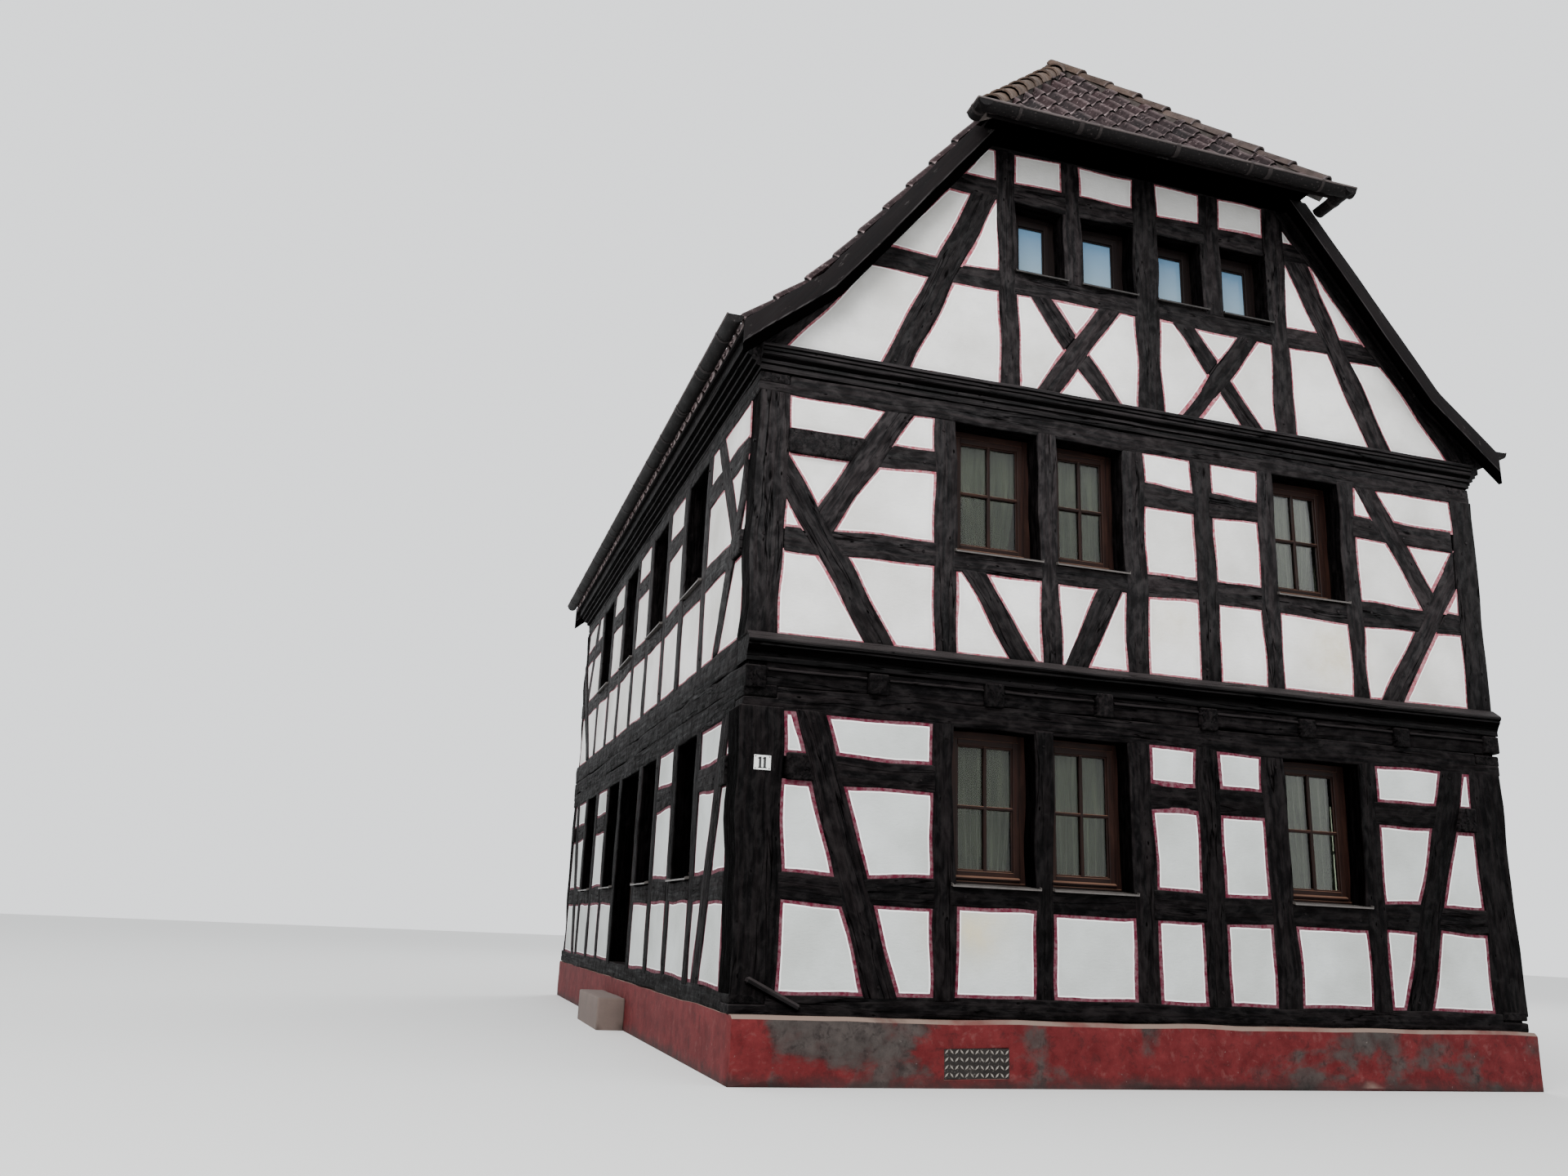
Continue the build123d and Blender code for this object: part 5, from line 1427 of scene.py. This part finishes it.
solid = solidsOf("cellar_hatch")[0]
middle, low, high = middleOf(solid)
bevelEdges(solid, fittings["hatchEdge"])
hatch = bmesh.new()
hatch.verts.layers.float.new("lip")
appendPart(hatch, solid)
lozengeMesh = makeLozenge()
columns, rows = fittings["lozengeColumns"], fittings["lozengeRows"]
for row in range(rows):
    for column in range(columns):
        lean = math.radians(fittings["lozengeLean"] * (1 if column % 2 else -1))
        spot = Vector((low.x + (high.x - low.x) * (column + 0.5) / columns, low.y,
                       low.z + (high.z - low.z) * (row + 0.5) / rows))
        fresh = appendCopy(hatch, lozengeMesh)
        place = Matrix.Translation(spot) @ Matrix.Rotation(lean, 4, "Y")
        bmesh.ops.transform(hatch, matrix=place, verts=fresh)
makePiece("chequerPlateHatch", hatch, ["chequer"], ["cellar_hatch"])

solid = solidsOf("number_plate")[0]
middle, low, high = middleOf(solid)
bevelEdges(solid, fittings["plateEdge"])
plate = bmesh.new()
appendPart(plate, solid, Matrix.Translation((0, -fittings["plateOut"], 0)))
front = low.y - fittings["plateOut"]
# two upright digits with a foot and a flag each, in raised black paint
tall, stroke, paint = fittings["digitHalf"], fittings["strokeHalf"], fittings["paintThick"] / 2
for x in (middle.x - fittings["digitAside"], middle.x + fittings["digitAside"]):
    for left, right, foot, head in (
        (-stroke, stroke, -tall, tall), (-stroke * 1.8, stroke * 1.8, -tall, fittings["serif"] - tall),
        (-stroke * 1.9, 0, tall - fittings["flag"][0], tall - fittings["flag"][1]),
    ):
        bar = makeBlock((x + left, front - 0.0003 - paint, middle.z + foot),
                        (x + right, front - 0.0003 + paint, middle.z + head))
        setMaterial(bar, 1)
        appendPart(plate, bar)
for x in (-fittings["screwAside"], fittings["screwAside"]):
    for z in (-fittings["screwUp"], fittings["screwUp"]):
        screw = bmesh.new()
        bmesh.ops.create_cone(screw, cap_ends=True, segments=10, radius1=fittings["screw"],
                              radius2=fittings["screw"] * 0.8, depth=fittings["screwHigh"])
        setMaterial(screw, 1)
        spot = Vector((middle.x + x * (high.x - low.x), front - fittings["screwOut"],
                       middle.z + z * (high.z - low.z)))
        appendPart(plate, screw, Matrix.Translation(spot) @ Matrix.Rotation(math.radians(90), 4, "X"))
makePiece("houseNumber", plate, ["enamel", "ink"], ["number_plate"])

# thin mouldings run along each filler between the joist ends at the gables
fillets = bmesh.new()
chance = random.Random(8)
for solid in solidsOf("joist_fillers"):
    middle, low, high = middleOf(solid)
    solid.free()
    if abs(middle.y) < house["halfDepth"] - 0.2 or high.x - low.x < 0.2:
        continue
    out = math.copysign(1, middle.y)
    face = max(abs(low.y), abs(high.y)) * out
    for height, thick in fittings["fillets"]:
        z = low.z + (high.z - low.z) * height
        ends = sorted((face - out * 0.02, face + out * (0.010 + thick)))
        addBar(fillets, (low.x + 0.01, ends[0], z), (high.x - 0.01, ends[1], z + thick * 1.6), chance, 0.004)
makePiece("fillerMouldings", fillets, ["moulding"])

# hidden tenons close the joints of the hewn corner timbers
cores = bmesh.new()
for x in (-1, 1):
    for y in (-1, 1):
        near, far = [Vector((x, y, 1)) * Vector(fittings[name]) for name in ("tenonLow", "tenonHigh")]
        addBar(cores, tuple(map(min, near, far)), tuple(map(max, near, far)), random.Random(4), 0.002)
makePiece("cornerTenons", cores, ["timber"])

# a worn strip nailed aslant over the foot of the corner post
strip = bmesh.new()
first, last = Vector(fittings["stripFrom"]), Vector(fittings["stripTo"])
run = last - first
addBar(strip, (-run.length / 2, -fittings["stripDeep"], -fittings["stripWide"] / 2),
       (run.length / 2, 0.01, fittings["stripWide"] / 2), random.Random(3), fittings["stripEdge"])
lean = Matrix.Rotation(math.atan2(-run.z, run.x), 4, "Y")
bmesh.ops.transform(strip, matrix=Matrix.Translation((first + last) / 2) @ lean, verts=strip.verts)
makePiece("slantingStrip", strip, ["moulding"])
print("street fittings made")

doorway = {
    "board": 0.137, "gap": 0.004, "frame": 0.075, "ledge": 0.12, "ledgeProud": 0.012, "ledges": (0.02, 0.88),
    "leafBack": 0.05, "leafFront": 0.018, "edge": 0.004, "handleY": 0.33, "handleZ": 1.05, "handleOut": 0.05,
    "handleLong": 0.11, "handleRadius": 0.009, "roseRadius": 0.028, "stepEdge": 0.014, "stepCut": 0.09,
    "stepUneven": 0.005, "roseThick": 0.006,
}
chance = random.Random(31)
middle, low, high = middleOf(solidsOf("door_frame")[0])
doorPlace = wallMatrix(Vector((-1, 0, 0)), Vector((-house["halfWidth"], middle.y, low.z)))
frontAt = -house["halfWidth"] - low.x
half, tall = (high.y - low.y) / 2, high.z - low.z
door = bmesh.new()
side, back, gap = doorway["frame"], frontAt - (high.x - low.x), doorway["gap"]
clear = half - side
for left, right, foot in ((-half, -clear, 0), (clear, half, 0), (-clear, clear, tall - side)):
    addBar(door, (left, back, foot), (right, frontAt, tall), chance)
leafLow = Vector((-half + side + gap, frontAt - doorway["leafBack"], 0.008))
leafHigh = Vector((half - side - gap, frontAt - doorway["leafFront"], tall - side - gap))
count = round((leafHigh.x - leafLow.x) / doorway["board"])
for number in range(count):
    left, right = [leafLow.x + (leafHigh.x - leafLow.x) * edge / count for edge in (number, number + 1)]
    addBar(door, (left, leafLow.y, leafLow.z), (right - gap, leafHigh.y, leafHigh.z), chance, doorway["edge"])
ledgeFront = leafHigh.y + doorway["ledgeProud"]
for height in (*doorway["ledges"], leafHigh.z - doorway["ledge"] - 0.02):
    addBar(door, (leafLow.x + gap, leafHigh.y - 0.004, height),
           (leafHigh.x - gap, ledgeFront, height + doorway["ledge"]), chance, doorway["edge"])
bmesh.ops.transform(door, matrix=doorPlace, verts=door.verts)
makePiece("plankDoor", door, ["windowWood"], ["door_frame", "door_leaf"])
handle = bmesh.new()
spot = Vector((doorway["handleY"], ledgeFront, doorway["handleZ"]))
neck, thick = Vector((0, doorway["handleOut"], 0)), doorway["handleRadius"]
addRod(handle, spot, spot + Vector((0, doorway["roseThick"], 0)), doorway["roseRadius"], 16, 0.3)
addRod(handle, spot, spot + neck, thick, 10, 0.6)
grip = [spot + neck + Vector((aside, 0, 0)) for aside in (0.006, -doorway["handleLong"])]
addRod(handle, *grip, thick, 10, 1.0)
bmesh.ops.transform(handle, matrix=doorPlace, verts=handle.verts)
makePiece("doorHandle", handle, ["iron"])

shape = shapeSolids("door_step", lambda solid: roughen(
    solid, doorway["stepEdge"], doorway["stepCut"], ((5, doorway["stepUneven"]),)))
makePiece("stoneStep", shape, ["stone"], ["door_step"], sharp=40)
for nodeName in ("ground_floor", "upper_floor", "attic_floor"):
    refinish(nodeName, "floor")
print("yard door and floors made")

stage = {"floor": 60.0, "floorColour": (0.62, 0.62, 0.61), "sky": (0.96, 0.98, 1.0), "skyStrength": 1.6}
floorShape = bmesh.new()
bmesh.ops.create_grid(floorShape, x_segments=1, y_segments=1, size=stage["floor"])
floor = bpy.data.objects.new("studioFloor", keepMesh("studioFloor", floorShape))
bpy.context.scene.collection.objects.link(floor)
floorPaint = Finish("studioFloorPaint")
floorPaint.feed(floorPaint.shader.inputs["Base Color"], stage["floorColour"])
floorPaint.feed(floorPaint.shader.inputs["Roughness"], 0.95)
floor.data.materials.append(floorPaint.material)

world = bpy.data.worlds.new("studioSky")
bpy.context.scene.world = world
world.use_nodes = True
world.node_tree.nodes["Background"].inputs["Color"].default_value = (*stage["sky"], 1)
world.node_tree.nodes["Background"].inputs["Strength"].default_value = stage["skyStrength"]


def softLight(name, place, target, size, power):
    data = bpy.data.lights.new(name, "AREA")
    data.shape, data.size, data.size_y, data.energy = "RECTANGLE", size, size, power
    light = bpy.data.objects.new(name, data)
    light.location = place
    light.rotation_euler = (Vector(target) - Vector(place)).to_track_quat("-Z", "Y").to_euler()
    bpy.context.scene.collection.objects.link(light)


softLight("streetLight", (-9, -16, 15), (0, -3, 4), 12, 5200)
softLight("backLight", (10, 14, 14), (0, 2, 4), 12, 2000)

camera = bpy.data.cameras.new("photographer")
camera.sensor_width, camera.lens, camera.clip_end = 36, 28.125, 200
cameraObject = bpy.data.objects.new("photographer", camera)
cameraObject.location = (-5.330, -12.569, 0.989)
cameraObject.rotation_euler = [math.radians(angle) for angle in (105.451, -2.357, -16.785)]
bpy.context.scene.collection.objects.link(cameraObject)
bpy.context.scene.camera = cameraObject
